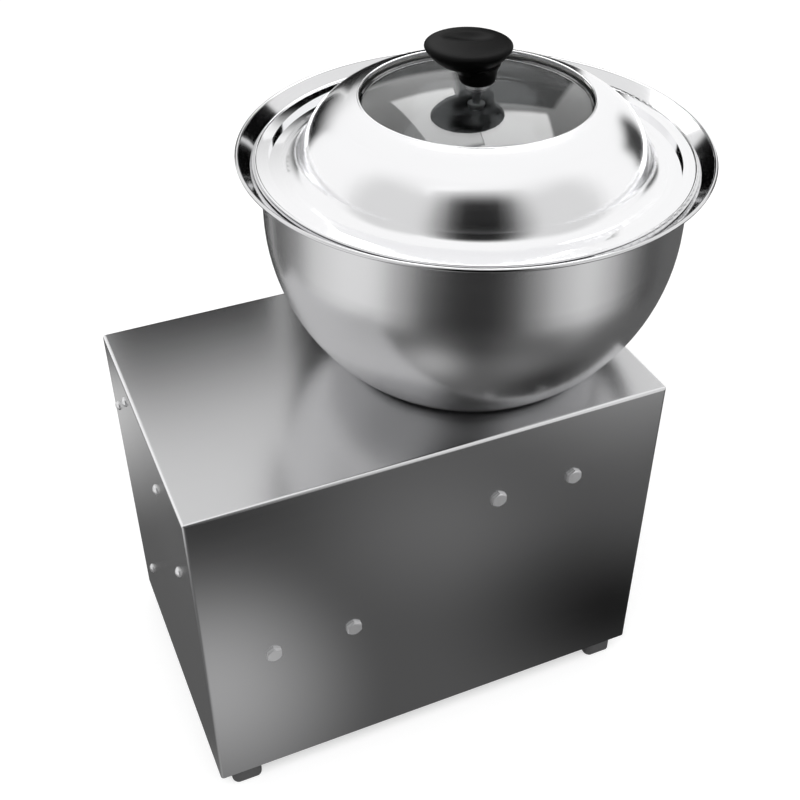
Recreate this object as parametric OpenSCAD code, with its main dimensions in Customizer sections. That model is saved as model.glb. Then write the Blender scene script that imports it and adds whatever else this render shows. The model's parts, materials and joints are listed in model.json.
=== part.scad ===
// Bench-top electric dough mixer: a folded sheet-steel casing with a fixed bowl, a belt and gear drive
// to a mixing hook, and a domed lid with a glass window. Millimetres, Z up.
// The origin is on the surface that the mixer stands on, under the middle of the casing.
// The long plain side faces -Y, and the side with the switch and the cable inlet faces +Y.

/* [Casing] */
// Length of the casing along X
body_l = 330; // [315:1:380]
// Depth of the casing along Y
body_d = 209; // [200:1:260]
// Height of the casing, without its feet
body_h = 248; // [244:1:290]
// Thickness of the casing sheet
sheet_t = 1.2; // [0.8:0.1:2]
// Outer radius of the casing's folds
fold_r = 2.2; // [1.5:0.1:4]
// Thickness of the base plate
base_t = 1.5; // [1:0.1:2.5]
// Side of the square tabs in the casing's lower corners
tab_side = 34; // [30:1:44]
// Height of the feet
foot_h = 15; // [10:0.5:20]
// Side of the square feet
foot_side = 22; // [18:0.5:26]
// Radius of the feet's corners
foot_corner_r = 6; // [3:0.5:8]
// Distance of a foot's centre from the casing's ends
foot_inset_x = 20; // [15:0.5:24]
// Distance of a foot's centre from the casing's front and back
foot_inset_y = 13.5; // [13.5:0.5:20]

/* [Bowl] */
// Distance of the bowl's axis from the middle of the casing, along X
bowl_x = 68; // [60:1:76]
// Outer radius of the bowl's wall
bowl_r = 134; // [128:0.5:140]
// Height of the bowl's rim above the casing
bowl_h = 148.5; // [140:0.5:175]
// Height of the centre of the bowl's spherical part above the casing
bowl_sphere_h = 105; // [98:0.5:112]
// Thickness of the bowl's wall
bowl_t = 1; // [0.8:0.1:1.5]
// Radius between the bowl's floor and its wall
bowl_floor_fillet = 14; // [8:0.5:20]
// Width of the ledge that the lid rests on
ledge_w = 5; // [4:0.5:7]
// Height of the rim's edge above the ledge
rim_rise = 6.5; // [4:0.5:9]
// Width of the sloping rim outside the ledge
rim_w = 9.5; // [7:0.5:14]
// Radius of the bead on the rim's edge
rim_bead_r = 1.2; // [1:0.1:1.8]
// Thickness of the gasket under the bowl
bowl_gasket_t = 1; // [0.8:0.1:2]

/* [Lid] */
// Thickness of the lid's sheet
lid_t = 0.8; // [0.6:0.1:1.2]
// Width of the lid's flat flange
lid_flange_w = 8; // [6:0.5:10]
// Depth of the groove inside the flange
lid_groove_d = 3; // [2:0.25:4]
// Radius of the window's opening
window_r = 72; // [66:0.5:76]
// Height of the window's edge above the lid's flange
dome_h = 36.7; // [34:0.1:40]
// Radius of the dome's section
dome_r = 47; // [44:0.5:50]
// Distance from the bowl's axis to the centre of the dome's section
dome_axis_r = 63; // [60:0.5:65]
// Radius between the dome and the groove
dome_foot_fillet = 10; // [6:0.5:12]
// Thickness of the window glass
glass_t = 4; // [3:0.25:5]
// How far the glass reaches under the dome
glass_overlap = 6; // [5:0.25:7]
// Rise of the domed glass from the window's edge to its middle
glass_rise = 9; // [6:0.5:10]
// How far the glass lies under the edge of the window
glass_drop = 3.2; // [3:0.1:4]

/* [Knob] */
// Height of the knob
knob_h = 25.6; // [22:0.1:36]
// Radius of the knob's head
knob_r = 26.5; // [22:0.5:30]
// Radius of the knob's foot
knob_foot_r = 11; // [9:0.5:14]
// How far the knob's head is offset from its foot
knob_offset = 6; // [0:0.5:8]
// Direction of that offset, from +X towards +Y
knob_turn = 153; // [0:1:360]
// Radius of the thread of the knob's screw
knob_screw_r = 2; // [1.5:0.25:2.5]
// Length of the screw's shoulder under the glass
knob_shoulder_l = 7.6; // [3:0.1:8]

/* [Motor] */
// Position of the motor's axis along X
motor_x = -90; // [-96:1:-88]
// Height of the motor bridge's top above the casing's lower edge
motor_bridge_h = 168; // [160:1:170]
// Outer radius of the motor
motor_r = 54; // [52:0.5:58]
// Height of the stator's stack of laminations
stack_h = 52; // [44:1:60]
// Height of each motor end shield
shield_h = 18; // [18:0.5:22]
// Radius of the rotor
rotor_r = 30; // [26:0.5:32]
// Gap between the rotor and the stator
air_gap = 0.5; // [0.3:0.1:1]
// Radius of the motor's shaft and of the pinion shaft
shaft_r = 6; // [5:0.25:6.5]
// Number of blades on the cooling fan
fan_blades = 8; // [6:1:12]

/* [Belt drive] */
// Pitch radius of the motor's pulley
small_pulley_r = 18; // [16:0.5:20]
// Pitch radius of the driven pulley
large_pulley_r = 58; // [54:0.5:60]
// Width of the belt's outer face
belt_w = 10; // [8:0.5:11]
// Height of the belt's section
belt_h = 6; // [5:0.5:7]
// Height of the pulleys
pulley_h = 14; // [13:0.5:15]

/* [Gears] */
// Gear module
gear_m = 2; // [1.9:0.01:2.05]
// Teeth of the pinion
pinion_z = 13; // [12:1:14]
// Teeth of the output gear
gear_z = 57; // [55:1:59]
// Width of the output gear
gear_w = 14; // [12:0.5:15]
// Backlash at the pitch circle
backlash = 0.3; // [0.2:0.05:0.5]
// Thickness of the gearbox's wall
gearbox_wall = 5; // [4:0.5:7]
// Thickness of the gearbox cover
cover_t = 14; // [13.5:0.5:16]
// Radius of the output shaft
output_r = 10; // [9:0.25:11]

/* [Hook] */
// Radius of the bar that the hook is bent from
hook_bar_r = 6.5; // [5:0.25:8]
// Radius of each bend of the hook
hook_bend_r = 42; // [36:0.5:45]
// Height of the hook's bar above the bowl's floor
hook_bar_h = 16; // [13:0.5:20]
// Height of the taller upright end of the hook, above its bar
hook_tall = 32; // [20:1:38]
// Height of the shorter upright end of the hook, above its bar
hook_short = 14; // [8:1:24]

/* [Frame and fasteners] */
// Thickness of the two bridges that carry the motor and the gearbox
bridge_t = 3; // [2:0.25:4]
// Width of the bridges
bridge_w = 110; // [106:1:112]
// Distance of the bridge bolts under a bridge's top
bolt_drop = 54; // [45:1:60]
// Distance between the two bolts at each end of a bridge
bolt_pitch = 56.5; // [45:0.5:65]
// Radius of the bridge bolts
bolt_r = 3; // [2.5:0.25:4]
// Width across the flats of the bridge bolts
bolt_flats = 10; // [9:0.5:13]
// Height of a bolt's head
bolt_head_h = 2.25; // [1.75:0.25:5]
// Radius of the screws in the side panel
side_screw_r = 2; // [1.5:0.25:2.5]

/* [Electrics] */
// Radius of the motor's capacitor
capacitor_r = 17; // [14:0.5:18]
// Length of the capacitor
capacitor_l = 78; // [60:1:84]
// Distance of the switch from the middle of the casing, along X
switch_x = -104; // [-108:1:-90]
// Height of the switch above the casing's lower edge
switch_h = 205; // [190:1:212]
// Height of the switch's bezel
switch_l = 31; // [28:0.5:34]
// Width of the switch's bezel
switch_w = 25; // [22:0.5:28]
// Distance of the cable inlet from the middle of the casing, along X
inlet_x = -125; // [-130:1:-60]
// Height of the cable inlet above the casing's lower edge
inlet_h = 32; // [24:1:40]
// Radius of the hole for the cable
inlet_r = 4; // [3:0.25:5]

/* [Clearances] */
// Running clearance of a shaft in its bearing
run_gap = 0.05; // [0.03:0.01:0.08]
// Clearance of a screw or a loose pin in its hole
screw_gap = 0.25; // [0.15:0.05:0.4]
// Clearance between parts that are fitted together by hand
fit_gap = 0.3; // [0.2:0.05:0.5]

/* [Hidden] */
$fn = 64;

// Levels and inner faces of the casing
z_bottom = foot_h;
z_top = foot_h + body_h;
in_x = body_l / 2 - sheet_t;
in_y = body_d / 2 - sheet_t;
z_tab = z_bottom + base_t;
foot_x = body_l / 2 - foot_inset_x;
foot_y = body_d / 2 - foot_inset_y;
foot_edge_r = 1;
foot_screw_r = 2.5;
foot_recess_h = foot_h * 0.45;
foot_nut_h = 4;

// Bridges: sheet channels bolted between the front and the back of the casing
bridge_fold_r = bridge_t + 1;
bridge_flange_h = bolt_drop + 12;
gearbox_bridge_x = bowl_x + 3;
z_gearbox_bridge = z_top - sheet_t;
z_motor_bridge = z_bottom + motor_bridge_h;
z_gearbox_top = z_gearbox_bridge - bridge_t;
z_motor_top = z_motor_bridge - bridge_t;
bolt_l = sheet_t + bridge_t + 9;
nut_h = 5;

// Belt: the section is a trapezoid whose pitch line lies belt_pitch under its outer face
belt_pitch = 2.5;
belt_angle = 20;
belt_in_w = belt_w - 2 * belt_h * tan(belt_angle);
groove_gap = 0.15;
pulley_lip = 0.6;

// Gears: the pinion lies on the motor's side of the output shaft
pressure_angle = 25;
gear_r = gear_m * gear_z / 2;
pinion_r = gear_m * pinion_z / 2;
gear_tip_r = gear_r + gear_m;
pinion_tip_r = pinion_r + gear_m;
input_x = bowl_x - gear_r - pinion_r;
belt_span = input_x - motor_x;
pinion_w = gear_w + 2;

// Bearings: outer radius and width
input_bearing = [16, 10];
output_bearing = [21, 12];
z_cover = z_gearbox_top - cover_t;
bearing_floor = 2;
gear_side_gap = 2.5;
gear_top_gap = 4;
z_gear = z_cover - gear_top_gap - gear_w;
z_case = z_gear - gear_side_gap - output_bearing[1] - bearing_floor;
case_floor = 5;
gear_room = 3;
case_in_r = gear_tip_r + gear_room;
case_in_r2 = input_bearing[0] + 3;
gearbox_screw_r = 2.5;
gearbox_head_h = 5;
z_belt = z_case - gearbox_head_h - 2 - pulley_h / 2;
ear_r = 6;

// Bowl levels
z_bowl = z_top + bowl_gasket_t;
z_floor = z_bowl + bowl_t;
z_sphere = z_top + bowl_sphere_h;
z_rim = z_top + bowl_h;
z_ledge = z_rim - rim_rise;
ledge_r = bowl_r + ledge_w;
rim_r = ledge_r + rim_w;
hub_flange_r = 38;
hub_flange_t = 3;
hub_r = 17;
hub_h = 27;
bowl_screw_r = 3;
bowl_screw_circle = 30;
bowl_screw_grip = 10;
bowl_screw_l = hub_flange_t + bowl_t + bowl_gasket_t + sheet_t + bridge_t + bowl_screw_grip;
seal_r = 14;
seal_h = 5;
z_hub_top = z_floor + hub_h;

// Hook: its hub is a cap over the bowl's hub, driven by a square on the output shaft
drive_flats = 13;
drive_h = 11;
cap_gap = 2;
cap_wall = 4;
cap_in_r = hub_r + cap_gap;
cap_out_r = cap_in_r + cap_wall;
z_cap_top = z_hub_top + 2 + drive_h;
z_cap_bottom = z_floor + hub_flange_t + 3;
z_bar = z_floor + hook_bar_h;
hook_thread_r = 5;
hook_nut_h = 7;

// Lid levels and the dome's section
z_lid = z_ledge + fit_gap;
lid_r = ledge_r - 1.8;
groove_out_r = lid_r - lid_flange_w;
z_groove = z_lid - lid_groove_d;
z_dome_axis = z_lid + lid_t + dome_h - sqrt(pow(dome_r, 2) - pow(window_r - dome_axis_r, 2));
z_fillet = z_groove + lid_t / 2 + dome_foot_fillet;
fillet_reach = dome_r + dome_foot_fillet;
fillet_x = dome_axis_r + sqrt(pow(fillet_reach, 2) - pow(z_fillet - z_dome_axis, 2));
dome_foot_angle = asin((z_fillet - z_dome_axis) / fillet_reach);
dome_edge_angle = acos((window_r - dome_axis_r) / dome_r);
z_window = z_lid + lid_t + dome_h;
glass_r = window_r + glass_overlap;
glass_sphere_r = (pow(window_r, 2) + pow(glass_rise, 2)) / (2 * glass_rise);
z_glass = z_window - glass_drop + glass_rise;
gasket_wall = 1.6;
gasket_in_r = window_r + 1.5;
gasket_h = glass_t + 3.2;
z_gasket = z_glass - glass_sphere_r + sqrt(pow(glass_sphere_r, 2) - pow(glass_r, 2)) - glass_t - 1.2;
retainer_t = 0.8;
knob_washer_t = 2.2;
knob_washer_r = 7;
z_knob = z_glass + knob_washer_t;
knob_bore_h = 12;
knob_seal_t = 0.8;
knob_plate_t = 0.8;
knob_shoulder_r = knob_screw_r + 0.5;
knob_flange_r = knob_shoulder_r + 2.8;
knob_flange_t = 1.2;
knob_head_h = 2;
knob_head_flats = 2 * knob_shoulder_r + 3;

// Motor levels: the upper shield hangs under the bridge
z_stack = z_motor_top - shield_h - stack_h;
z_motor_low = z_stack - shield_h;
shield_wall = 4;
shield_roof = 5;
motor_bolt_r = 2;
motor_bolt_circle = motor_r - 4;
cowl_h = 26;
cowl_t = 1.5;
cowl_collar = 2;
cowl_r = motor_bolt_circle - 4.4;
z_cowl = z_motor_low - cowl_h;
fan_h = 12;
fan_r = cowl_r - cowl_t - 2;
z_fan = z_motor_low - fan_h - 4;
z_shaft_low = z_fan + 1;
z_shaft_high = z_belt + pulley_h / 2 + 3;

// Electrics on the inside of the left panel: [distance from the front, height over the casing's edge]
plate_screws = [[body_d - 58, 230], [75, 214], [body_d - 20, 199], [38, 174]];
earth_screw = [body_d - 41, 52];
plate_t = 1.5;
plate_y0 = min([for (p = plate_screws) p[0]]) - 10;
plate_y1 = max([for (p = plate_screws) p[0]]) + 5;
plate_z0 = min([for (p = plate_screws) p[1]]) - 10;
plate_z1 = max([for (p = plate_screws) p[1]]) + 8;
side_head_r = 1.75 * side_screw_r;
side_head_h = 1.2 * side_screw_r;
side_nut_h = 3;
capacitor_gap = 7;
capacitor_y = body_d - 69;
capacitor_h = motor_bridge_h + capacitor_gap + capacitor_r;
terminal_gap = 8;
terminal_size = [14, 30, 15];
terminal_y = 61;
terminal_h = plate_screws[1][1] - terminal_gap - terminal_size[2];
clamp_t = 1;
clamp_w = 12;
capacitor_x = -in_x + plate_t + clamp_t + fit_gap + capacitor_r;

// Switch and cable inlet on the back panel
switch_depth = 22;
bezel_t = 2;
bezel_rim = 2.6;
rocker_tilt = 10;
rocker_pin_r = 1.5;
rocker_r = switch_l / 2 - bezel_rim - fit_gap;
rocker_w = switch_w - 2 * bezel_rim - 2 * fit_gap;
rocker_pivot = 3;
gland_flats = 19;
gland_flange_h = 6;
gland_stem_r = 7.5;
gland_stem_l = 10;
gland_neck_r = 6.8;
gland_neck_l = 12;
gland_cap_flats = 17;
gland_nut_flats = 18;
gland_nut_t = 4;

// Vent slots
slot_w = 4;
slot_l = 36;
slot_pitch = 10;
back_slots = 7;
back_slot_h = 52;
base_slots = 7;

// Shared shapes

// Rectangle with round corners, made of exact arcs
module round_rect(size, r) {
    square([size[0] - 2 * r, size[1]], center = true);
    square([size[0], size[1] - 2 * r], center = true);
    for (x = [-1, 1], y = [-1, 1])
        translate([x * (size[0] / 2 - r), y * (size[1] / 2 - r)]) circle(r);
}

// Slot with round ends along Y, through a sheet that lies in XY
module slot_cut(length, width, depth) {
    translate([-width / 2, -length / 2 + width / 2, -depth / 2]) cube([width, length - width, depth]);
    for (y = [-1, 1])
        translate([0, y * (length - width) / 2, -depth / 2]) cylinder(h = depth, r = width / 2);
}

// Ring along Z
module ring(h, r_out, r_in) {
    difference() {
        cylinder(h = h, r = r_out);
        translate([0, 0, -1]) cylinder(h = h + 2, r = r_in);
    }
}

// Hexagonal prism along Z, measured across its flats
module hexagon(flats, h) {
    cylinder(h = h, r = flats / sqrt(3), $fn = 6);
}

module hex_nut(flats, h, bore_r) {
    difference() {
        intersection() {
            hexagon(flats, h);
            cylinder(h = h, r1 = flats / 2 + h * 0.9, r2 = flats / 2 + 0.1);
        }
        translate([0, 0, -1]) cylinder(h = h + 2, r = bore_r);
    }
}

// Screw with a domed head on a low rim: the head stands over z = 0 and the shank hangs under it
module pan_screw(r, length, head_r, head_h) {
    dome_h = 0.75 * head_h;
    sphere_r = (pow(head_r, 2) + pow(dome_h, 2)) / (2 * dome_h);
    rotate_extrude() intersection() {
        translate([0, head_h - sphere_r]) circle(sphere_r);
        square([head_r, head_h]);
    }
    translate([0, 0, -length]) cylinder(h = length + head_h / 4, r = r);
}

// Section strip of thickness t along an arc, from angle a0 to a1
module arc_strip(centre, r, t, a0, a1) {
    reach = 2 * r;
    middle = (a0 + a1) / 2;
    translate(centre) intersection() {
        difference() {
            circle(r + t / 2, $fn = 128);
            circle(r - t / 2, $fn = 128);
        }
        polygon([[0, 0], reach * [cos(a0), sin(a0)], reach * [cos(middle), sin(middle)],
            reach * [cos(a1), sin(a1)]]);
    }
}

// Places children at each of the 4 feet
module at_feet() {
    for (x = [-1, 1], y = [-1, 1]) translate([x * foot_x, y * foot_y, 0]) children();
}

// Places children at the bolts of both bridges: Z points out of the panel, and z = 0 is its outer face
module at_frame_bolts() {
    for (place = [[gearbox_bridge_x, z_gearbox_bridge], [motor_x, z_motor_bridge]])
        for (side = [-1, 1], end = [0, 180])
            rotate([0, 0, end])
                translate([(end == 0 ? 1 : -1) * place[0] + side * bolt_pitch / 2, -body_d / 2,
                    place[1] - bolt_drop])
                    rotate([90, 0, 0]) children();
}

// Places children at a point of the left panel: Z points out of it, and z = 0 is its outer face
module at_side(points) {
    for (p = points)
        translate([-body_l / 2, p[0] - body_d / 2, z_bottom + p[1]]) rotate([0, -90, 0]) children();
}

// Places children round the bowl's axis, at the screws that clamp the bowl
module at_bowl_screws() {
    for (a = [45:90:315])
        translate([bowl_x, 0, 0]) rotate([0, 0, a]) translate([bowl_screw_circle, 0, 0]) children();
}

module at_motor_bolts() {
    for (a = [45:90:315])
        translate([motor_x, 0, 0]) rotate([0, 0, a]) translate([motor_bolt_circle, 0, 0]) children();
}

// Ears of the gearbox that its screws go through
module at_gearbox_ears() {
    reach = case_in_r + gearbox_wall + 1;
    for (a = [-120, -60, 0, 60, 120])
        translate([bowl_x, 0, 0]) rotate([0, 0, a]) translate([reach, 0, 0]) children();
    translate([input_x - case_in_r2 - gearbox_wall - 1, 0, 0]) children();
}

// Casing

module casing_block(inset, height_extra) {
    l = body_l - 2 * inset;
    d = body_d - 2 * inset;
    h = body_h - inset;
    r = max(fold_r - inset, 0.4);
    translate([0, 0, z_bottom]) intersection() {
        translate([0, 0, -height_extra]) linear_extrude(h + height_extra) round_rect([l, d], r);
        rotate([90, 0, 0]) translate([0, 0, -d]) linear_extrude(2 * d) round_rect([l, 2 * h], r);
        rotate([90, 0, 90]) translate([0, 0, -l]) linear_extrude(2 * l) round_rect([d, 2 * h], r);
    }
}

module body_shell() {
    tab_t = 1.5;
    color([0.62, 0.62, 0.63]) difference() {
        union() {
            difference() {
                casing_block(0, 0);
                casing_block(sheet_t, 1);
            }
            for (x = [-1, 1], y = [-1, 1])
                translate([x > 0 ? in_x - tab_side : -in_x - sheet_t / 2,
                    y > 0 ? in_y - tab_side : -in_y - sheet_t / 2, z_tab])
                    cube([tab_side + sheet_t / 2, tab_side + sheet_t / 2, tab_t]);
        }
        at_feet() cylinder(h = z_tab + tab_t + 1, r = foot_screw_r + screw_gap);
        at_frame_bolts() translate([0, 0, -2 * sheet_t]) cylinder(h = 3 * sheet_t, r = bolt_r + screw_gap);
        at_side(concat(plate_screws, [earth_screw]))
            translate([0, 0, -2 * sheet_t]) cylinder(h = 3 * sheet_t, r = side_screw_r + screw_gap);
        translate([bowl_x, 0, z_top - 2 * sheet_t]) cylinder(h = 3 * sheet_t, r = output_r + 3);
        at_bowl_screws() translate([0, 0, z_top - 2 * sheet_t])
            cylinder(h = 3 * sheet_t, r = bowl_screw_r + screw_gap);
        translate([switch_x, in_y, z_bottom + switch_h])
            cube([switch_w - 3, 4 * sheet_t, switch_l - 3], center = true);
        translate([inlet_x, in_y - sheet_t, z_bottom + inlet_h]) rotate([-90, 0, 0])
            cylinder(h = 4 * sheet_t, r = gland_stem_r + screw_gap);
        for (i = [0:back_slots - 1])
            translate([motor_x + 32 + (i - (back_slots - 1) / 2) * slot_pitch, in_y, z_bottom + back_slot_h])
                rotate([90, 0, 0]) slot_cut(slot_l, slot_w, 4 * sheet_t);
    }
}

module base_plate() {
    color([0.55, 0.55, 0.56]) difference() {
        translate([0, 0, z_bottom]) linear_extrude(base_t)
            round_rect([2 * (in_x - fit_gap), 2 * (in_y - fit_gap)], fold_r);
        at_feet() cylinder(h = z_tab + 1, r = foot_screw_r + screw_gap);
        for (i = [0:base_slots - 1], y = [-1, 1])
            translate([motor_x + (i - (base_slots - 1) / 2) * slot_pitch, y * 26, z_bottom + base_t / 2])
                slot_cut(slot_l, slot_w, 3 * base_t);
    }
}

// Square block with round corners and a round edge along its sole
module foot_block() {
    reach = 2 * foot_side;
    intersection() {
        linear_extrude(foot_h) round_rect([foot_side, foot_side], foot_corner_r);
        translate([0, foot_side, foot_h]) rotate([90, 0, 0])
            linear_extrude(reach) round_rect([foot_side, 2 * foot_h], foot_edge_r);
        translate([-foot_side, 0, foot_h]) rotate([90, 0, 90])
            linear_extrude(reach) round_rect([foot_side, 2 * foot_h], foot_edge_r);
    }
}

module rubber_feet() {
    color([0.36, 0.36, 0.36]) at_feet() difference() {
        foot_block();
        translate([0, 0, -1]) cylinder(h = foot_h + 2, r = foot_screw_r + screw_gap);
        translate([0, 0, -1]) cylinder(h = foot_recess_h + 1, r = 2 * foot_screw_r + 1);
    }
}

module foot_screws() {
    head_h = 2.6;
    length = z_tab - foot_recess_h + foot_nut_h + 3.5;
    color([0.7, 0.7, 0.7]) at_feet() translate([0, 0, foot_recess_h]) rotate([180, 0, 0])
        pan_screw(foot_screw_r, length, 2 * foot_screw_r, head_h);
}

module foot_nuts() {
    color([0.7, 0.7, 0.7]) at_feet() translate([0, 0, z_tab + 1.5])
        hex_nut(8, foot_nut_h, foot_screw_r + screw_gap / 2);
}

// Frame

module frame_bolts() {
    face_r = bolt_flats / 2 - 0.3;
    color([0.75, 0.75, 0.76]) at_frame_bolts() {
        intersection() {
            rotate([0, 0, 30]) hexagon(bolt_flats, bolt_head_h);
            cylinder(h = bolt_head_h, r1 = face_r + 2 * bolt_head_h, r2 = face_r);
        }
        translate([0, 0, -bolt_l]) cylinder(h = bolt_l + bolt_head_h / 2, r = bolt_r);
    }
}

module frame_nuts() {
    color([0.75, 0.75, 0.76]) at_frame_bolts() translate([0, 0, -sheet_t - bridge_t - nut_h])
        hex_nut(bolt_flats, nut_h, bolt_r + screw_gap / 2);
}

// Channel between the front and back panels, with its flat top at z_bridge
module bridge(x, z_bridge) {
    translate([x - bridge_w / 2, 0, z_bridge - bridge_flange_h]) rotate([90, 0, 90])
        linear_extrude(bridge_w) intersection() {
            difference() {
                round_rect([2 * in_y, 2 * bridge_flange_h], bridge_fold_r);
                round_rect([2 * (in_y - bridge_t), 2 * (bridge_flange_h - bridge_t)], bridge_fold_r - bridge_t);
            }
            translate([-in_y - 1, 0]) square([2 * in_y + 2, bridge_flange_h + 1]);
        }
}

module bolt_holes_in_bridges() {
    at_frame_bolts() translate([0, 0, -sheet_t - 2 * bridge_t])
        cylinder(h = 3 * bridge_t, r = bolt_r + screw_gap);
}

module gearbox_bridge() {
    color([0.45, 0.46, 0.48]) difference() {
        bridge(gearbox_bridge_x, z_gearbox_bridge);
        bolt_holes_in_bridges();
        translate([bowl_x, 0, z_gearbox_top - 1]) cylinder(h = bridge_t + 2, r = output_r + 3);
        at_bowl_screws() translate([0, 0, z_gearbox_top - 1])
            cylinder(h = bridge_t + 2, r = bowl_screw_r + screw_gap);
    }
}

module motor_bridge() {
    color([0.45, 0.46, 0.48]) difference() {
        bridge(motor_x, z_motor_bridge);
        bolt_holes_in_bridges();
        translate([motor_x, 0, z_motor_top - 1]) cylinder(h = bridge_t + 2, r = shaft_r + 8);
        at_motor_bolts() translate([0, 0, z_motor_top - 1])
            cylinder(h = bridge_t + 2, r = motor_bolt_r + screw_gap);
    }
}

// Gearbox

// Outline round both shafts: two circles and their common tangents
module gearbox_outline(r_out, r_in) {
    span = bowl_x - input_x;
    lean = asin((r_out - r_in) / span);
    translate([bowl_x, 0]) circle(r_out);
    translate([input_x, 0]) circle(r_in);
    tangent = [for (s = [1, -1]) [-sin(lean), s * cos(lean)]];
    polygon([[bowl_x, 0] + r_out * tangent[0], [input_x, 0] + r_in * tangent[0],
        [input_x, 0] + r_in * tangent[1], [bowl_x, 0] + r_out * tangent[1]]);
}

module bearing_seats(z_input, z_output, up) {
    translate([input_x, 0, z_input]) cylinder(h = input_bearing[1] + up, r = input_bearing[0] + run_gap);
    translate([bowl_x, 0, z_output]) cylinder(h = output_bearing[1] + up, r = output_bearing[0] + run_gap);
}

module gearbox_case() {
    height = z_cover - z_case;
    color([0.68, 0.69, 0.7]) difference() {
        union() {
            difference() {
                translate([0, 0, z_case]) linear_extrude(height)
                    gearbox_outline(case_in_r + gearbox_wall, case_in_r2 + gearbox_wall);
                translate([0, 0, z_case + case_floor]) linear_extrude(height)
                    gearbox_outline(case_in_r, case_in_r2);
            }
            translate([bowl_x, 0, z_case])
                cylinder(h = bearing_floor + output_bearing[1], r = output_bearing[0] + gearbox_wall);
            translate([input_x, 0, z_case])
                cylinder(h = bearing_floor + input_bearing[1], r = input_bearing[0] + 2.5);
            at_gearbox_ears() translate([0, 0, z_case]) cylinder(h = height, r = ear_r);
        }
        bearing_seats(z_case + bearing_floor, z_case + bearing_floor, 1);
        translate([input_x, 0, z_case - 1]) cylinder(h = case_floor, r = shaft_r + 1);
        at_gearbox_ears() translate([0, 0, z_case - 1])
            cylinder(h = height + 2, r = gearbox_screw_r + screw_gap);
    }
}

module gearbox_cover() {
    color([0.68, 0.69, 0.7]) difference() {
        union() {
            translate([0, 0, z_cover]) linear_extrude(cover_t)
                gearbox_outline(case_in_r + gearbox_wall, case_in_r2 + gearbox_wall);
            at_gearbox_ears() translate([0, 0, z_cover]) cylinder(h = cover_t, r = ear_r);
        }
        bearing_seats(z_cover - 1, z_cover - 1, 1);
        translate([bowl_x, 0, z_cover]) cylinder(h = cover_t + 1, r = output_r + 1.5);
        at_bowl_screws() translate([0, 0, z_gearbox_top - bowl_screw_grip - 1.5])
            cylinder(h = bowl_screw_grip + 3, r = bowl_screw_r + screw_gap / 2);
        at_gearbox_ears() translate([0, 0, z_cover - 1])
            cylinder(h = cover_t - 2, r = gearbox_screw_r + screw_gap / 2);
    }
}

module gearbox_screws() {
    length = z_cover - z_case + cover_t - 4;
    color([0.3, 0.3, 0.32]) at_gearbox_ears() {
        translate([0, 0, z_case - gearbox_head_h]) difference() {
            cylinder(h = gearbox_head_h, r = 1.7 * gearbox_screw_r);
            translate([0, 0, -1]) hexagon(4, 4);
        }
        translate([0, 0, z_case - 1]) cylinder(h = length + 1, r = gearbox_screw_r);
    }
}

// Ball bearing as one ring, with the shield recessed between its races
module bearing(size, bore_r) {
    race = (size[0] - bore_r) * 0.28;
    recess = 0.6;
    color([0.72, 0.72, 0.74]) rotate_extrude() difference() {
        translate([bore_r, 0]) square([size[0] - bore_r, size[1]]);
        for (z = [-1, size[1] - recess])
            translate([bore_r + race, z]) square([size[0] - bore_r - 2 * race, 1 + recess - (z < 0 ? 0 : recess)]);
    }
}

module output_bearings() {
    for (z = [z_case + bearing_floor, z_cover])
        translate([bowl_x, 0, z]) bearing([output_bearing[0], output_bearing[1] - run_gap], output_r + run_gap);
}

module input_bearings() {
    for (z = [z_case + bearing_floor, z_cover])
        translate([input_x, 0, z]) bearing([input_bearing[0], input_bearing[1] - 1 - run_gap], shaft_r + run_gap);
}

// Gears

function involute(base_r, r) = tan(acos(base_r / r)) * 180 / PI - acos(base_r / r);

// Half of a tooth's angle at radius r
function tooth_half(teeth, r) = let (
        pitch_r = gear_m * teeth / 2,
        base_r = pitch_r * cos(pressure_angle)
    ) 90 / teeth - backlash / 4 / pitch_r * 180 / PI
      + involute(base_r, pitch_r) - involute(base_r, max(r, base_r));

// Outline of an involute gear, with one tooth centred on +X
function gear_points(teeth, steps) = let (
        pitch_r = gear_m * teeth / 2,
        base_r = pitch_r * cos(pressure_angle),
        root_r = pitch_r - 1.25 * gear_m,
        start_r = max(base_r, root_r + 0.1),
        tip_r = pitch_r + gear_m,
        flank = [for (i = [0:steps]) let (r = start_r + (tip_r - start_r) * i / steps) [r, tooth_half(teeth, r)]],
        root = [root_r, tooth_half(teeth, start_r)],
        up = concat([root], flank),
        count = len(up)
    ) [for (k = [0:teeth - 1], i = [0:2 * count - 1]) let (
        first = i < count,
        p = first ? up[i] : up[2 * count - 1 - i],
        a = k * 360 / teeth + (first ? -p[1] : p[1])
    ) p[0] * [cos(a), sin(a)]];

module output_gear() {
    web_t = 7;
    hub_r = output_r + 9;
    rim_in_r = gear_r - 8;
    recess = (gear_w - web_t) / 2;
    color([0.5, 0.5, 0.52]) translate([bowl_x, 0, z_gear]) difference() {
        linear_extrude(gear_w) polygon(gear_points(gear_z, 3));
        translate([0, 0, -1]) cylinder(h = gear_w + 2, r = output_r + 2 + run_gap / 2);
        for (z = [-1, gear_w - recess]) translate([0, 0, z]) ring(recess + 1, rim_in_r, hub_r);
        for (a = [30:60:330]) rotate([0, 0, a]) translate([(rim_in_r + hub_r) / 2, 0, -1])
            cylinder(h = gear_w + 2, r = (rim_in_r - hub_r) / 2 - 4);
        translate([output_r, -3 - run_gap, -1]) cube([5.5, 6 + 2 * run_gap, gear_w + 2]);
    }
}

module gear_key() {
    color([0.6, 0.6, 0.6]) translate([bowl_x + output_r - 1, -3, z_gear + 0.5])
        cube([6, 6, gear_w - 1]);
}

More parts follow.
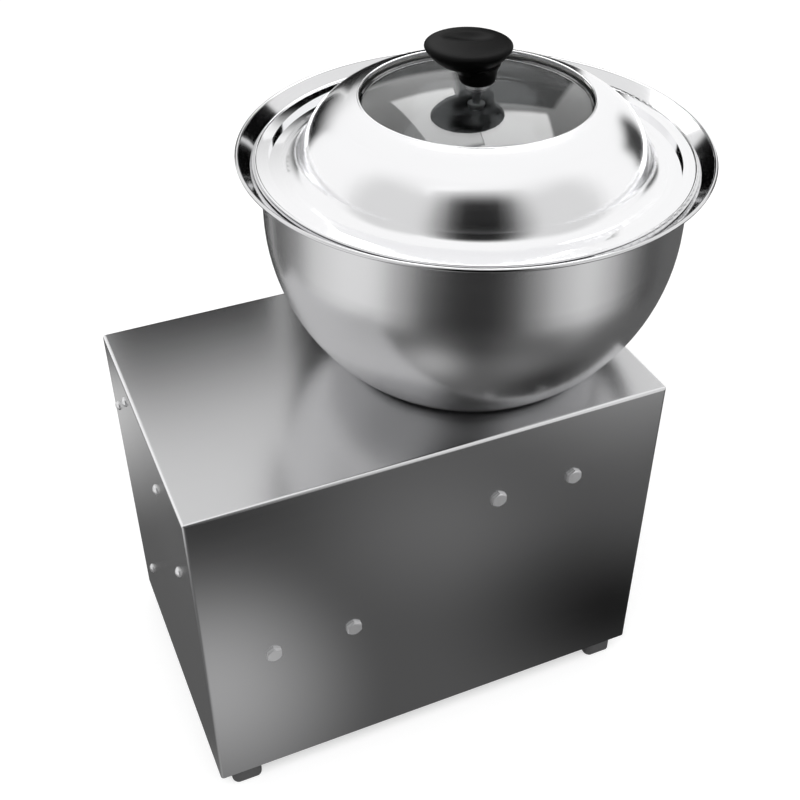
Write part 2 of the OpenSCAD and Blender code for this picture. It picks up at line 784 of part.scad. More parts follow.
module output_shaft() {
    z0 = z_case + bearing_floor + 0.2;
    z_seat = z_gear - gear_side_gap + 0.2;
    z_seat_top = z_cover - 0.2;
    z_square = z_hub_top + 1;
    color([0.78, 0.78, 0.8]) difference() {
        translate([bowl_x, 0, 0]) {
            translate([0, 0, z0]) cylinder(h = z_seat - z0 + 1, r = output_r);
            translate([0, 0, z_seat]) cylinder(h = z_seat_top - z_seat, r = output_r + 2);
            translate([0, 0, z_seat_top - 1]) cylinder(h = z_square - z_seat_top + 1, r = output_r);
            translate([0, 0, z_square - 1]) intersection() {
                translate([-drive_flats / 2, -drive_flats / 2, 0])
                    cube([drive_flats, drive_flats, z_cap_top - z_square + 0.5]);
                cylinder(h = z_cap_top, r = output_r - 0.8);
            }
            translate([0, 0, z_cap_top - 1]) cylinder(h = hook_nut_h + 3, r = hook_thread_r);
        }
        translate([bowl_x + output_r - 1 - run_gap, -3 - run_gap, z_gear + 0.5 - run_gap])
            cube([6, 6 + 2 * run_gap, gear_w - 1 + 2 * run_gap]);
    }
}

module pinion_shaft() {
    z0 = z_belt - pulley_h / 2 - 7;
    z1 = z_cover + input_bearing[1] - 2;
    z_pinion = z_gear - (pinion_w - gear_w) / 2;
    color([0.7, 0.7, 0.72]) translate([input_x, 0, 0]) {
        translate([0, 0, z0]) cylinder(h = z1 - z0, r = shaft_r);
        translate([0, 0, z_pinion]) linear_extrude(pinion_w) polygon(gear_points(pinion_z, 4));
    }
}

// Belt drive

// Section of the belt at the pitch radius r, or of its groove when grown by gap
module belt_section(r, gap) {
    top = belt_w / 2 + gap;
    low = belt_in_w / 2 + gap;
    polygon([[r + belt_pitch, -top], [r + belt_pitch, top],
        [r + belt_pitch - belt_h, low], [r + belt_pitch - belt_h, -low]]);
}

// The straight runs are a hair slimmer than the arcs and reach a little way into them
module drive_belt() {
    lean = asin((large_pulley_r - small_pulley_r) / belt_span);
    run = sqrt(pow(belt_span, 2) - pow(large_pulley_r - small_pulley_r, 2));
    reach = 0.4;
    color([0.12, 0.12, 0.12]) translate([motor_x, 0, z_belt]) {
        translate([belt_span, 0, 0]) rotate([0, 0, -90 - lean])
            rotate_extrude(angle = 180 + 2 * lean) belt_section(large_pulley_r, 0);
        rotate([0, 0, 90 + lean])
            rotate_extrude(angle = 180 - 2 * lean) belt_section(small_pulley_r, 0);
        for (side = [0, 1]) mirror([0, side, 0]) rotate([90, 0, 90 + lean])
            translate([0, 0, -reach]) linear_extrude(run + 2 * reach) belt_section(small_pulley_r, -0.02);
    }
}

// Groove of a pulley, open at the rim
module groove_section(r) {
    flare = tan(belt_angle) * (pulley_lip + 0.5);
    top = belt_w / 2 + groove_gap;
    low = belt_in_w / 2 + groove_gap;
    x_top = r + belt_pitch;
    polygon([[x_top + pulley_lip + 0.5, -top - flare], [x_top + pulley_lip + 0.5, top + flare],
        [x_top - belt_h, low], [x_top - belt_h - 0.8, low], [x_top - belt_h - 0.8, -low], [x_top - belt_h, -low]]);
}

module motor_pulley() {
    rim = small_pulley_r + belt_pitch + pulley_lip;
    color([0.5, 0.5, 0.52]) translate([motor_x, 0, z_belt]) rotate_extrude() difference() {
        union() {
            translate([shaft_r + run_gap / 2, -pulley_h / 2]) square([rim - shaft_r, pulley_h]);
        }
        groove_section(small_pulley_r);
        translate([rim, -pulley_h]) square([10, 2 * pulley_h]);
    }
}

module driven_pulley() {
    rim = large_pulley_r + belt_pitch + pulley_lip;
    rim_in = large_pulley_r + belt_pitch - belt_h - 5;
    hub = shaft_r + 8;
    web = 5;
    color([0.5, 0.5, 0.52]) translate([input_x, 0, z_belt]) difference() {
        rotate_extrude() difference() {
            union() {
                translate([rim_in, -pulley_h / 2]) square([rim - rim_in, pulley_h]);
                translate([shaft_r + run_gap / 2, -web / 2]) square([rim_in - shaft_r, web]);
                translate([shaft_r + run_gap / 2, -pulley_h / 2]) square([hub - shaft_r, pulley_h]);
            }
            groove_section(large_pulley_r);
        }
        for (a = [0:72:288]) rotate([0, 0, a + 20]) translate([(rim_in + hub) / 2, 0, -web])
            cylinder(h = 2 * web, r = (rim_in - hub) / 2 - 4);
    }
}

module pulley_nut() {
    color([0.75, 0.75, 0.76]) translate([input_x, 0, z_belt - pulley_h / 2 - 6])
        hex_nut(19, 6, shaft_r + run_gap);
}

// Motor

// End shield as a cup that opens towards +Z, with a seat for a bearing in its floor
module shield() {
    boss_h = input_bearing[1] + 2;
    difference() {
        union() {
            difference() {
                cylinder(h = shield_h, r = motor_r);
                translate([0, 0, shield_roof]) cylinder(h = shield_h, r = motor_r - shield_wall);
            }
            cylinder(h = boss_h, r = input_bearing[0] + 4);
            for (a = [45:90:315]) rotate([0, 0, a]) translate([motor_bolt_circle, 0, 0])
                cylinder(h = shield_h, r = motor_r - motor_bolt_circle);
        }
        translate([0, 0, 2]) cylinder(h = boss_h, r = input_bearing[0] + run_gap);
        translate([0, 0, -1]) cylinder(h = 4, r = shaft_r + 1);
        for (a = [45:90:315]) rotate([0, 0, a]) translate([motor_bolt_circle, 0, -1])
            cylinder(h = shield_h + 2, r = motor_bolt_r + screw_gap);
        for (a = [0:30:330]) rotate([0, 0, a]) translate([(input_bearing[0] + 4 + motor_r - shield_wall) / 2, 0, -1])
            cylinder(h = shield_roof + 2, r = 4);
    }
}

module motor_lower_shield() {
    color([0.66, 0.67, 0.68]) translate([motor_x, 0, z_motor_low]) shield();
}

module motor_upper_shield() {
    color([0.66, 0.67, 0.68]) translate([motor_x, 0, z_motor_top]) mirror([0, 0, 1]) shield();
}

module motor_stator() {
    slots = 24;
    slot_depth = 14;
    color([0.4, 0.4, 0.42]) translate([motor_x, 0, z_stack]) difference() {
        cylinder(h = stack_h, r = motor_r);
        translate([0, 0, -1]) cylinder(h = stack_h + 2, r = rotor_r + air_gap);
        for (i = [0:slots - 1]) rotate([0, 0, i * 360 / slots + 7.5])
            translate([rotor_r, -1.6, -1]) cube([slot_depth, 3.2, stack_h + 2]);
        for (a = [45:90:315]) rotate([0, 0, a]) translate([motor_bolt_circle, 0, -1])
            cylinder(h = stack_h + 2, r = motor_bolt_r + screw_gap);
    }
}

module motor_windings() {
    winding_h = 10;
    r_in = rotor_r + 3;
    r_out = rotor_r + 14;
    corner = 3;
    color([0.72, 0.4, 0.2]) for (z = [z_stack + stack_h, z_stack - winding_h])
        translate([motor_x, 0, z]) rotate_extrude()
            translate([(r_in + r_out) / 2, winding_h / 2]) round_rect([r_out - r_in, winding_h], corner);
}

module motor_bearings() {
    size = [input_bearing[0], input_bearing[1] - run_gap];
    for (z = [z_motor_low + 2, z_motor_top - 2 - size[1]])
        translate([motor_x, 0, z]) bearing(size, shaft_r + run_gap);
}

module motor_rotor() {
    end_ring = 5;
    color([0.58, 0.59, 0.6]) translate([motor_x, 0, z_stack]) {
        ring(stack_h, rotor_r, shaft_r + run_gap / 2);
        for (z = [-end_ring, stack_h - 0.5]) translate([0, 0, z]) ring(end_ring + 0.5, rotor_r - 2, rotor_r - 12);
    }
}

module motor_shaft() {
    color([0.75, 0.75, 0.77]) translate([motor_x, 0, z_shaft_low])
        cylinder(h = z_shaft_high - z_shaft_low, r = shaft_r);
}

module motor_bolts() {
    head_h = 3.5;
    nut_h = 3.2;
    z_head = z_motor_low - cowl_collar;
    length = z_motor_bridge - z_head + nut_h + 1.5;
    flats = 3.5 * motor_bolt_r;
    color([0.72, 0.72, 0.73]) at_motor_bolts() {
        translate([0, 0, z_head - head_h]) hexagon(flats, head_h);
        translate([0, 0, z_head - 1]) cylinder(h = length + 1, r = motor_bolt_r);
        translate([0, 0, z_motor_bridge]) intersection() {
            hexagon(flats, nut_h);
            cylinder(h = nut_h, r1 = flats, r2 = flats / 2 + 0.1);
        }
    }
}

module cooling_fan() {
    hub = shaft_r + 5;
    color([0.2, 0.2, 0.21]) translate([motor_x, 0, z_fan]) difference() {
        union() {
            cylinder(h = fan_h, r = hub);
            cylinder(h = 2, r = fan_r);
            for (i = [0:fan_blades - 1]) rotate([0, 0, i * 360 / fan_blades])
                translate([hub - 1, -0.9, 0]) cube([fan_r - hub, 1.8, fan_h]);
        }
        translate([0, 0, -1]) cylinder(h = fan_h + 2, r = shaft_r + run_gap / 2);
    }
}

module fan_cowl() {
    color([0.25, 0.25, 0.26]) translate([motor_x, 0, z_cowl]) difference() {
        union() {
            cylinder(h = cowl_h, r = cowl_r);
            translate([0, 0, cowl_h - cowl_collar]) cylinder(h = cowl_collar, r = motor_r);
        }
        translate([0, 0, cowl_t]) cylinder(h = cowl_h, r = cowl_r - cowl_t);
        for (r = [12:8:36], a = [0:30:330]) rotate([0, 0, a + 2 * r]) translate([r, 0, -1])
            cylinder(h = cowl_t + 2, r = 2);
        for (a = [45:90:315]) rotate([0, 0, a]) translate([motor_bolt_circle, 0, cowl_h - cowl_collar - 1])
            cylinder(h = cowl_collar + 2, r = motor_bolt_r + screw_gap);
    }
}

// Bowl

// Section of the bowl's space, shrunk by inset: floor, fillet, spherical zone and straight wall
module bowl_section(inset, z_end) {
    r = bowl_r - inset;
    fillet = bowl_floor_fillet - inset;
    z0 = z_bowl + inset;
    z_centre = z_bowl + bowl_floor_fillet;
    x_centre = sqrt(pow(bowl_r - bowl_floor_fillet, 2) - pow(z_sphere - z_centre, 2));
    z_tangent = z_sphere - r * (z_sphere - z_centre) / (bowl_r - bowl_floor_fillet);
    intersection() {
        translate([0, z_sphere]) circle(r, $fn = 128);
        translate([0, z_tangent]) square([2 * bowl_r, z_sphere - z_tangent]);
    }
    translate([0, z0]) square([x_centre, z_tangent - z0]);
    intersection() {
        translate([x_centre, z_centre]) circle(fillet);
        translate([x_centre, z0]) square([fillet, z_tangent - z0]);
    }
    translate([0, z_sphere]) square([r, z_end - z_sphere]);
}

module bowl() {
    slope = [rim_w - rim_bead_r, rim_rise - rim_bead_r];
    normal = bowl_t * [-slope[1], slope[0]] / norm(slope);
    foot = [ledge_r, z_ledge - bowl_t];
    color([0.72, 0.72, 0.73]) translate([bowl_x, 0, 0]) difference() {
        rotate_extrude($fn = 128) {
            difference() {
                bowl_section(0, z_ledge);
                bowl_section(bowl_t, z_ledge + 1);
            }
            translate([bowl_r - bowl_t, z_ledge - bowl_t]) square([ledge_w + bowl_t, bowl_t]);
            polygon([foot + [-0.6, 0], foot, foot + slope + [0, bowl_t], foot + slope + normal + [0, bowl_t],
                foot + [-0.6, bowl_t]]);
            translate([rim_r - rim_bead_r, z_rim - rim_bead_r]) circle(rim_bead_r);
        }
        translate([0, 0, z_bowl - 1]) cylinder(h = bowl_t + 2, r = output_r + 2.5);
        translate([-bowl_x, 0, 0]) at_bowl_screws() translate([0, 0, z_bowl - 1])
            cylinder(h = bowl_t + 2, r = bowl_screw_r + screw_gap);
    }
}

module bowl_gasket() {
    color([0.85, 0.85, 0.83]) difference() {
        translate([bowl_x, 0, z_top]) ring(bowl_gasket_t, hub_flange_r + 22, output_r + 3);
        at_bowl_screws() translate([0, 0, z_top - 1])
            cylinder(h = bowl_gasket_t + 2, r = bowl_screw_r + screw_gap);
    }
}

module bowl_hub() {
    fillet = 6;
    color([0.74, 0.74, 0.75]) difference() {
        translate([bowl_x, 0, z_floor]) rotate_extrude() difference() {
            union() {
                square([hub_flange_r, hub_flange_t]);
                square([hub_r, hub_h]);
                difference() {
                    translate([0, hub_flange_t]) square([hub_r + fillet, fillet]);
                    translate([hub_r + fillet, hub_flange_t + fillet]) circle(fillet);
                }
            }
            translate([0, -1]) square([output_r + 0.6, hub_h + 2]);
            translate([0, hub_h - seal_h]) square([seal_r, seal_h + 1]);
        }
        at_bowl_screws() translate([0, 0, z_floor - 1])
            cylinder(h = hub_flange_t + fillet + 2, r = bowl_screw_r + screw_gap);
        at_bowl_screws() translate([0, 0, z_floor + hub_flange_t])
            cylinder(h = fillet + 1, r = 2 * bowl_screw_r + 0.2);
    }
}

module shaft_seal() {
    color([0.1, 0.1, 0.1]) translate([bowl_x, 0, z_hub_top - seal_h])
        ring(seal_h, seal_r - run_gap, output_r + 2 * run_gap);
}

module bowl_screws() {
    color([0.76, 0.76, 0.78]) at_bowl_screws() translate([0, 0, z_floor + hub_flange_t])
        pan_screw(bowl_screw_r, bowl_screw_l, 2 * bowl_screw_r - 0.2, 3);
}

// Hook

// Bent half of the hook: an arc from the axis, then an upright end with a round tip
module hook_arm(tip_h) {
    translate([hook_bend_r, 0, 0]) rotate([0, 0, 0])
        rotate_extrude(angle = 180, $fn = 96) translate([hook_bend_r, 0]) circle(hook_bar_r, $fn = 32);
    translate([2 * hook_bend_r, 0, 0]) {
        sphere(hook_bar_r, $fn = 32);
        cylinder(h = tip_h, r = hook_bar_r, $fn = 32);
        translate([0, 0, tip_h]) sphere(hook_bar_r, $fn = 32);
    }
}

module mixing_hook() {
    skirt_fillet = 5;
    color([0.74, 0.74, 0.75]) translate([bowl_x, 0, 0]) difference() {
        union() {
            translate([0, 0, z_bar]) {
                hook_arm(hook_tall);
                rotate([0, 0, 180]) hook_arm(hook_short);
            }
            translate([0, 0, z_cap_bottom]) rotate_extrude() {
                square([cap_out_r, z_cap_top - z_cap_bottom - skirt_fillet]);
                square([cap_out_r - skirt_fillet, z_cap_top - z_cap_bottom]);
                translate([cap_out_r - skirt_fillet, z_cap_top - z_cap_bottom - skirt_fillet])
                    circle(skirt_fillet);
            }
        }
        translate([0, 0, z_floor]) cylinder(h = z_hub_top + 2 - z_floor, r = cap_in_r);
        translate([-drive_flats / 2 - run_gap, -drive_flats / 2 - run_gap, z_hub_top])
            cube([drive_flats + 2 * run_gap, drive_flats + 2 * run_gap, 2 * drive_h]);
    }
}

module hook_nut() {
    color([0.78, 0.78, 0.8]) translate([bowl_x, 0, z_cap_top + 0.5 + run_gap]) difference() {
        union() {
            hexagon(16, hook_nut_h);
            translate([0, 0, hook_nut_h - 3.5]) sphere(8);
        }
        translate([0, 0, -10]) cylinder(h = 10, r = 10);
        translate([0, 0, -1]) cylinder(h = hook_nut_h + 3, r = hook_thread_r + run_gap);
    }
}

// Lid

module lid_dome() {
    bead_r = lid_t;
    step_x = groove_out_r - lid_t;
    lip_h = 1.8;
    fillet_end = 180 + dome_foot_angle;
    joint_angle = 0.2;
    color([0.78, 0.78, 0.79]) translate([bowl_x, 0, 0]) rotate_extrude($fn = 128) {
        arc_strip([dome_axis_r, z_dome_axis], dome_r, lid_t, dome_foot_angle - joint_angle, dome_edge_angle);
        arc_strip([fillet_x, z_fillet], dome_foot_fillet, lid_t, fillet_end, 270);
        translate([fillet_x, z_groove]) square([groove_out_r - fillet_x, lid_t]);
        translate([step_x, z_groove]) square([lid_t, lid_groove_d + lid_t]);
        translate([step_x, z_lid]) square([lid_r - bead_r - step_x, lid_t]);
        translate([lid_r - bead_r, z_lid + bead_r]) circle(bead_r);
        translate([window_r - lid_t / 2, z_window - lip_h]) square([lid_t, lip_h]);
        translate([window_r, z_window]) circle(lid_t * 0.9);
    }
}

// Section of the domed glass, grown by gap
module glass_section(gap) {
    intersection() {
        translate([0, z_glass - glass_sphere_r]) difference() {
            circle(glass_sphere_r + gap, $fn = 256);
            circle(glass_sphere_r - glass_t - gap, $fn = 256);
        }
        translate([0, z_glass - 30]) square([glass_r + gap, 40]);
    }
}

module lid_glass() {
    color([0.8, 0.85, 0.86, 0.35]) translate([bowl_x, 0, 0]) difference() {
        rotate_extrude($fn = 128) glass_section(0);
        translate([0, 0, z_glass - 2 * glass_t]) cylinder(h = 3 * glass_t, r = knob_screw_r + 0.5);
    }
}

module glass_gasket() {
    color([0.9, 0.9, 0.9]) translate([bowl_x, 0, 0]) rotate_extrude($fn = 128) difference() {
        intersection() {
            translate([gasket_in_r, z_gasket]) square([glass_r + gasket_wall - gasket_in_r, gasket_h]);
            translate([dome_axis_r, z_dome_axis]) circle(dome_r - lid_t / 2 - 0.1, $fn = 128);
        }
        glass_section(0.05);
    }
}

module glass_retainer() {
    wall_x = glass_r + gasket_wall + 3;
    wall_top = z_dome_axis + sqrt(pow(dome_r - lid_t / 2 - 0.1, 2) - pow(wall_x + retainer_t - dome_axis_r, 2));
    z0 = z_gasket - retainer_t;
    color([0.75, 0.75, 0.76]) translate([bowl_x, 0, 0]) rotate_extrude($fn = 128) {
        translate([gasket_in_r + 1, z0]) square([wall_x - gasket_in_r, retainer_t]);
        translate([wall_x, z0]) square([retainer_t, wall_top - z0]);
    }
}

// The knob's section at steps of its height: [share of height, share of the way from foot to head]
knob_steps = [[0, -0.14], [0.05, -0.05], [0.2, 0.02], [0.46, 0.35], [0.77, 0.88], [0.89, 1], [0.96, 0.95], [1, 0.78]];

module knob_slice(step) {
    r = knob_foot_r + (knob_r - knob_foot_r) * step[1];
    shift = knob_offset * max(step[1], 0);
    translate([shift, 0, knob_h * step[0]]) cylinder(h = 0.01, r = r, $fn = 32);
}

module lid_knob() {
    dish_r = 58;
    dish_d = 2.2;
    color([0.07, 0.07, 0.07]) translate([bowl_x, 0, z_knob]) difference() {
        rotate([0, 0, knob_turn]) for (i = [0:len(knob_steps) - 2]) hull() {
            knob_slice(knob_steps[i]);
            knob_slice(knob_steps[i + 1]);
        }
        rotate([0, 0, knob_turn]) translate([knob_offset, 0, knob_h + dish_r - dish_d])
            sphere(dish_r, $fn = 64);
        translate([0, 0, -1]) cylinder(h = knob_bore_h + 1, r = knob_screw_r + screw_gap / 2);
    }
}

// Shoulder screw: its shoulder clamps the glass between the washers, and its flanged head hangs under them
module knob_screw() {
    z_shoulder = z_glass - glass_t - knob_seal_t - knob_plate_t;
    z_flange = z_shoulder - knob_shoulder_l - knob_flange_t;
    z_head = z_flange - knob_head_h;
    color([0.76, 0.76, 0.78]) translate([bowl_x, 0, 0]) {
        translate([0, 0, z_head]) intersection() {
            hexagon(knob_head_flats, knob_head_h + 0.1);
            cylinder(h = knob_head_h + 0.1, r1 = knob_head_flats / 2, r2 = knob_head_flats / 2 + 2 * knob_head_h);
        }
        translate([0, 0, z_flange]) cylinder(h = knob_flange_t, r = knob_flange_r);
        translate([0, 0, z_flange + 0.1]) cylinder(h = z_shoulder - z_flange - 0.1, r = knob_shoulder_r);
        translate([0, 0, z_shoulder - 1]) cylinder(h = z_knob + knob_bore_h - z_shoulder, r = knob_screw_r);
    }
}

module knob_washers() {
    washer_r = knob_shoulder_r + 1;
    z_seal = z_glass - glass_t - knob_seal_t;
    color([0.7, 0.7, 0.7]) translate([bowl_x, 0, 0]) {
        difference() {
            translate([0, 0, z_glass - 0.2]) ring(z_knob - z_glass + 0.2, knob_washer_r, knob_screw_r + screw_gap);
            translate([0, 0, z_glass - glass_sphere_r]) sphere(glass_sphere_r + run_gap, $fn = 256);
        }
        translate([0, 0, z_seal]) ring(knob_seal_t - 0.1, washer_r, knob_screw_r + screw_gap);
        translate([0, 0, z_seal - knob_plate_t]) ring(knob_plate_t, washer_r, knob_screw_r + screw_gap);
    }
}

// Electrics

module electrics_plate() {
    color([0.6, 0.6, 0.6]) difference() {
        translate([-in_x, plate_y0 - body_d / 2, z_bottom + plate_z0])
            cube([plate_t, plate_y1 - plate_y0, plate_z1 - plate_z0]);
        at_side(plate_screws) translate([0, 0, -sheet_t - 2 * plate_t])
            cylinder(h = 3 * plate_t, r = side_screw_r + screw_gap);
    }
}

module capacitor() {
    pin_l = 6;
    color([0.8, 0.8, 0.78]) translate([capacitor_x, capacitor_y - body_d / 2 - capacitor_l / 2, z_bottom + capacitor_h])
        rotate([-90, 0, 0]) {
            cylinder(h = capacitor_l, r = capacitor_r);
            for (x = [-1, 1]) translate([x * 5 - 0.4, -3, capacitor_l]) cube([0.8, 6, pin_l]);
        }
}

module capacitor_clamp() {
    reach = plate_screws[0][1] - capacitor_h + clamp_w / 2;
    color([0.7, 0.7, 0.7]) difference() {
        translate([0, plate_screws[0][0] - body_d / 2 - clamp_w / 2, z_bottom + capacitor_h])
            rotate([90, 0, 0]) mirror([0, 0, 1]) linear_extrude(clamp_w) {
                translate([capacitor_x, 0]) difference() {
                    circle(capacitor_r + fit_gap / 2 + clamp_t);
                    circle(capacitor_r + fit_gap / 2);
                }
                translate([-in_x + plate_t, 0]) square([clamp_t, reach]);
            }
        at_side([plate_screws[0]]) translate([0, 0, -sheet_t - plate_t - 2 * clamp_t])
            cylinder(h = 3 * clamp_t, r = side_screw_r + screw_gap);
    }
}

module terminal_block() {
    ways = 3;
    pitch = terminal_size[1] / ways;
    color([0.9, 0.9, 0.88])
        translate([-in_x + plate_t, terminal_y - body_d / 2 - terminal_size[1] / 2, z_bottom + terminal_h])
            difference() {
                cube(terminal_size);
                for (i = [0:ways - 1]) translate([0, (i + 0.5) * pitch, 0]) {
                    translate([terminal_size[0] / 2 - 2, 0, -1]) cylinder(h = terminal_size[2] + 2, r = 1.8);
                    translate([terminal_size[0] - 5, 0, terminal_size[2] / 2]) rotate([0, 90, 0])
                        cylinder(h = 6, r = 2.2);
                }
                for (i = [1:ways - 1]) translate([terminal_size[0] - 4, i * pitch - 0.8, -1])
                    cube([5, 1.6, terminal_size[2] + 2]);
            }
}

module side_screws() {
    length = sheet_t + plate_t + clamp_t + side_nut_h + 1.5;
    color([0.75, 0.75, 0.76]) at_side(concat(plate_screws, [earth_screw]))
        pan_screw(side_screw_r, length, side_head_r, side_head_h);
}

module side_nuts() {
    color([0.75, 0.75, 0.76]) for (i = [0:len(plate_screws)]) {
        under = i == 0 ? plate_t + clamp_t : i < len(plate_screws) ? plate_t : 0;
        at_side([concat(plate_screws, [earth_screw])[i]]) translate([0, 0, -sheet_t - under - side_nut_h])
            hex_nut(3.5 * side_screw_r, side_nut_h, side_screw_r + screw_gap / 2);
    }
}

// Places children on the outer face of the back panel at the switch: Z points out, X along the casing
module at_switch() {
    translate([switch_x, body_d / 2, z_bottom + switch_h]) rotate([-90, 0, 0]) children();
}

module switch_housing() {
    cavity_r = rocker_r + fit_gap;
    cavity_w = rocker_w + 2 * fit_gap;
    color([0.08, 0.08, 0.08]) at_switch() difference() {
        union() {
            linear_extrude(bezel_t) round_rect([switch_w, switch_l], 2);
            translate([-(switch_w - 3) / 2 + screw_gap, -(switch_l - 3) / 2 + screw_gap, -switch_depth])
                cube([switch_w - 3 - 2 * screw_gap, switch_l - 3 - 2 * screw_gap, switch_depth + 1]);
            for (y = [-8, 0, 8]) translate([-0.4, y - 3, -switch_depth - 8]) cube([0.8, 6, 9]);
        }
        translate([-cavity_w / 2, 0, -rocker_pivot]) rotate([0, 90, 0]) cylinder(h = cavity_w, r = cavity_r);
        translate([-cavity_w / 2, -cavity_r, -rocker_pivot]) cube([cavity_w, 2 * cavity_r, 2 * bezel_t + rocker_pivot]);
        translate([-switch_w / 2 + 1.6, 0, -rocker_pivot]) rotate([0, 90, 0])
            cylinder(h = switch_w - 3.2, r = rocker_pin_r + run_gap);
    }
}

// Rocker: its ends are round about the pivot, and its two faces slope down from the middle
module switch_rocker() {
    face_h = 7.5;
    pin_l = switch_w - 3.6;
    color([0.1, 0.1, 0.1]) at_switch() translate([0, 0, -rocker_pivot]) rotate([rocker_tilt, 0, 0]) {
        intersection() {
            translate([-rocker_w / 2, 0, 0]) rotate([0, 90, 0]) cylinder(h = rocker_w, r = rocker_r);
            translate([rocker_w / 2, 0, 0]) rotate([0, -90, 0]) linear_extrude(rocker_w)
                polygon([[-2.5, -4], [-2.5, 4], [1.5, rocker_r], [face_h + tan(rocker_tilt) * rocker_r, rocker_r],
                    [face_h, 0], [face_h + tan(rocker_tilt) * rocker_r, -rocker_r], [1.5, -rocker_r]]);
        }
        translate([-pin_l / 2, 0, 0]) rotate([0, 90, 0]) cylinder(h = pin_l, r = rocker_pin_r);
    }
}

// Places children on the outer face of the back panel at the cable inlet: Z points out
module at_inlet() {
    translate([inlet_x, body_d / 2, z_bottom + inlet_h]) rotate([-90, 0, 0]) children();
}

module cable_gland() {
    color([0.1, 0.1, 0.1]) at_inlet() difference() {
        union() {
            hexagon(gland_flats, gland_flange_h);
            cylinder(h = gland_flange_h + gland_neck_l, r = gland_neck_r);
            translate([0, 0, -gland_stem_l]) cylinder(h = gland_stem_l + 1, r = gland_stem_r);
        }
        translate([0, 0, -gland_stem_l - 1])
            cylinder(h = gland_stem_l + gland_flange_h + gland_neck_l + 2, r = inlet_r);
    }
}

module gland_cap() {
    cap_h = gland_neck_l + 4;
    hole_r = inlet_r + 0.8;
    round_r = gland_cap_flats / 2 - 0.8;
    color([0.1, 0.1, 0.1]) at_inlet() translate([0, 0, gland_flange_h + 0.3]) difference() {
        union() {
            hexagon(gland_cap_flats, cap_h * 0.6);
            cylinder(h = cap_h * 0.75, r = round_r);
            translate([0, 0, cap_h * 0.75]) cylinder(h = cap_h * 0.25, r1 = round_r, r2 = round_r - 1.4);
        }
        translate([0, 0, -1]) cylinder(h = gland_neck_l + 1, r = gland_neck_r + run_gap);
        cylinder(h = cap_h + 1, r = hole_r);
    }
}

module gland_nut() {
    color([0.1, 0.1, 0.1]) at_inlet() translate([0, 0, -sheet_t - gland_nut_t])
        hex_nut(gland_nut_flats, gland_nut_t, gland_stem_r + run_gap);
}

body_shell();
base_plate();
rubber_feet();
foot_screws();
foot_nuts();
frame_bolts();
frame_nuts();
gearbox_bridge();
motor_bridge();
gearbox_case();
gearbox_cover();
gearbox_screws();
output_bearings();
input_bearings();
bowl();
bowl_gasket();
bowl_hub();
shaft_seal();
bowl_screws();
motor_upper_shield();
motor_stator();
motor_windings();
motor_lower_shield();
motor_bearings();
motor_bolts();
fan_cowl();
drive_belt();
electrics_plate();
capacitor();
capacitor_clamp();
terminal_block();
side_screws();
side_nuts();
switch_housing();
cable_gland();
gland_cap();
gland_nut();
motor_rotor();
motor_shaft();
motor_pulley();
cooling_fan();
pinion_shaft();
driven_pulley();
pulley_nut();
output_shaft();
output_gear();
gear_key();
mixing_hook();
hook_nut();
lid_dome();
lid_glass();
glass_gasket();
glass_retainer();
lid_knob();
knob_screw();
knob_washers();
switch_rocker();
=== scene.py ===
import json
import math
import bmesh
import bpy
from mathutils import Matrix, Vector


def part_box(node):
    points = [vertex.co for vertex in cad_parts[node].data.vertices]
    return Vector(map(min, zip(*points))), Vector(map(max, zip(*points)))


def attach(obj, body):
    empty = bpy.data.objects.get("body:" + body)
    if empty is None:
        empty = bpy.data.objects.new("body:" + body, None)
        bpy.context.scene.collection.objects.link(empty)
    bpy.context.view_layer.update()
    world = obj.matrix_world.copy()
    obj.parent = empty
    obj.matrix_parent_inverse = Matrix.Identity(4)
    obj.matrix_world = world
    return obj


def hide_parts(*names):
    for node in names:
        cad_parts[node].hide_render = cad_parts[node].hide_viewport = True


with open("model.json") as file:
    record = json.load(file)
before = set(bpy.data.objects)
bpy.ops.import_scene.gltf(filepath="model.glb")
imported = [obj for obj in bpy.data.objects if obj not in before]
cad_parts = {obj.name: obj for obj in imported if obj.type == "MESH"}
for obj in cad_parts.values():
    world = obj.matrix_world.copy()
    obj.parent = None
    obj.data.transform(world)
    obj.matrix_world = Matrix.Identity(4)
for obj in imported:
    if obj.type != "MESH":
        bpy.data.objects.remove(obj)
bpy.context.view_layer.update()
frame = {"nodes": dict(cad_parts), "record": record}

# Looks of the dough mixer: a casing of satin sheet, a spun bowl, a polished lid with a glass window.
# All is in metres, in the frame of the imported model. Lengths in millimetres are multiplied by MM.
MM = 0.001
TURN = 2 * math.pi

# Places taken from the frame
bowl_low, bowl_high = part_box("bowl")
knob_low, knob_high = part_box("lid_knob")
windings_low, windings_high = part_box("motor_windings")
casing_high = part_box("body_shell")[1]
AXIS = Vector(((bowl_low.x + bowl_high.x) / 2, 0, 0))


# Meshes

def new_piece(name, bm, smooth_angle=35):
    """An object of the mesh, shaded smooth across folds of less than an angle in degrees."""
    bmesh.ops.recalc_face_normals(bm, faces=bm.faces)
    mesh = bpy.data.meshes.new(name)
    bm.to_mesh(mesh)
    bm.free()
    for face in mesh.polygons:
        face.use_smooth = True
    mesh.set_sharp_from_angle(angle=math.radians(smooth_angle))
    piece = bpy.data.objects.new(name, mesh)
    bpy.context.scene.collection.objects.link(piece)
    return piece


def smooth_path(points, steps=6):
    """Points on a Catmull-Rom curve through the given points."""
    path = []
    for i in range(len(points) - 1):
        a, b, c, d = (Vector(points[min(max(i + k, 0), len(points) - 1)]) for k in (-1, 0, 1, 2))
        for k in range(steps):
            t = k / steps
            path.append((2 * b + (c - a) * t + (2 * a - 5 * b + 4 * c - d) * t ** 2
                         + (3 * b - 3 * c + d - a) * t ** 3) / 2)
    return path + [Vector(points[-1])]


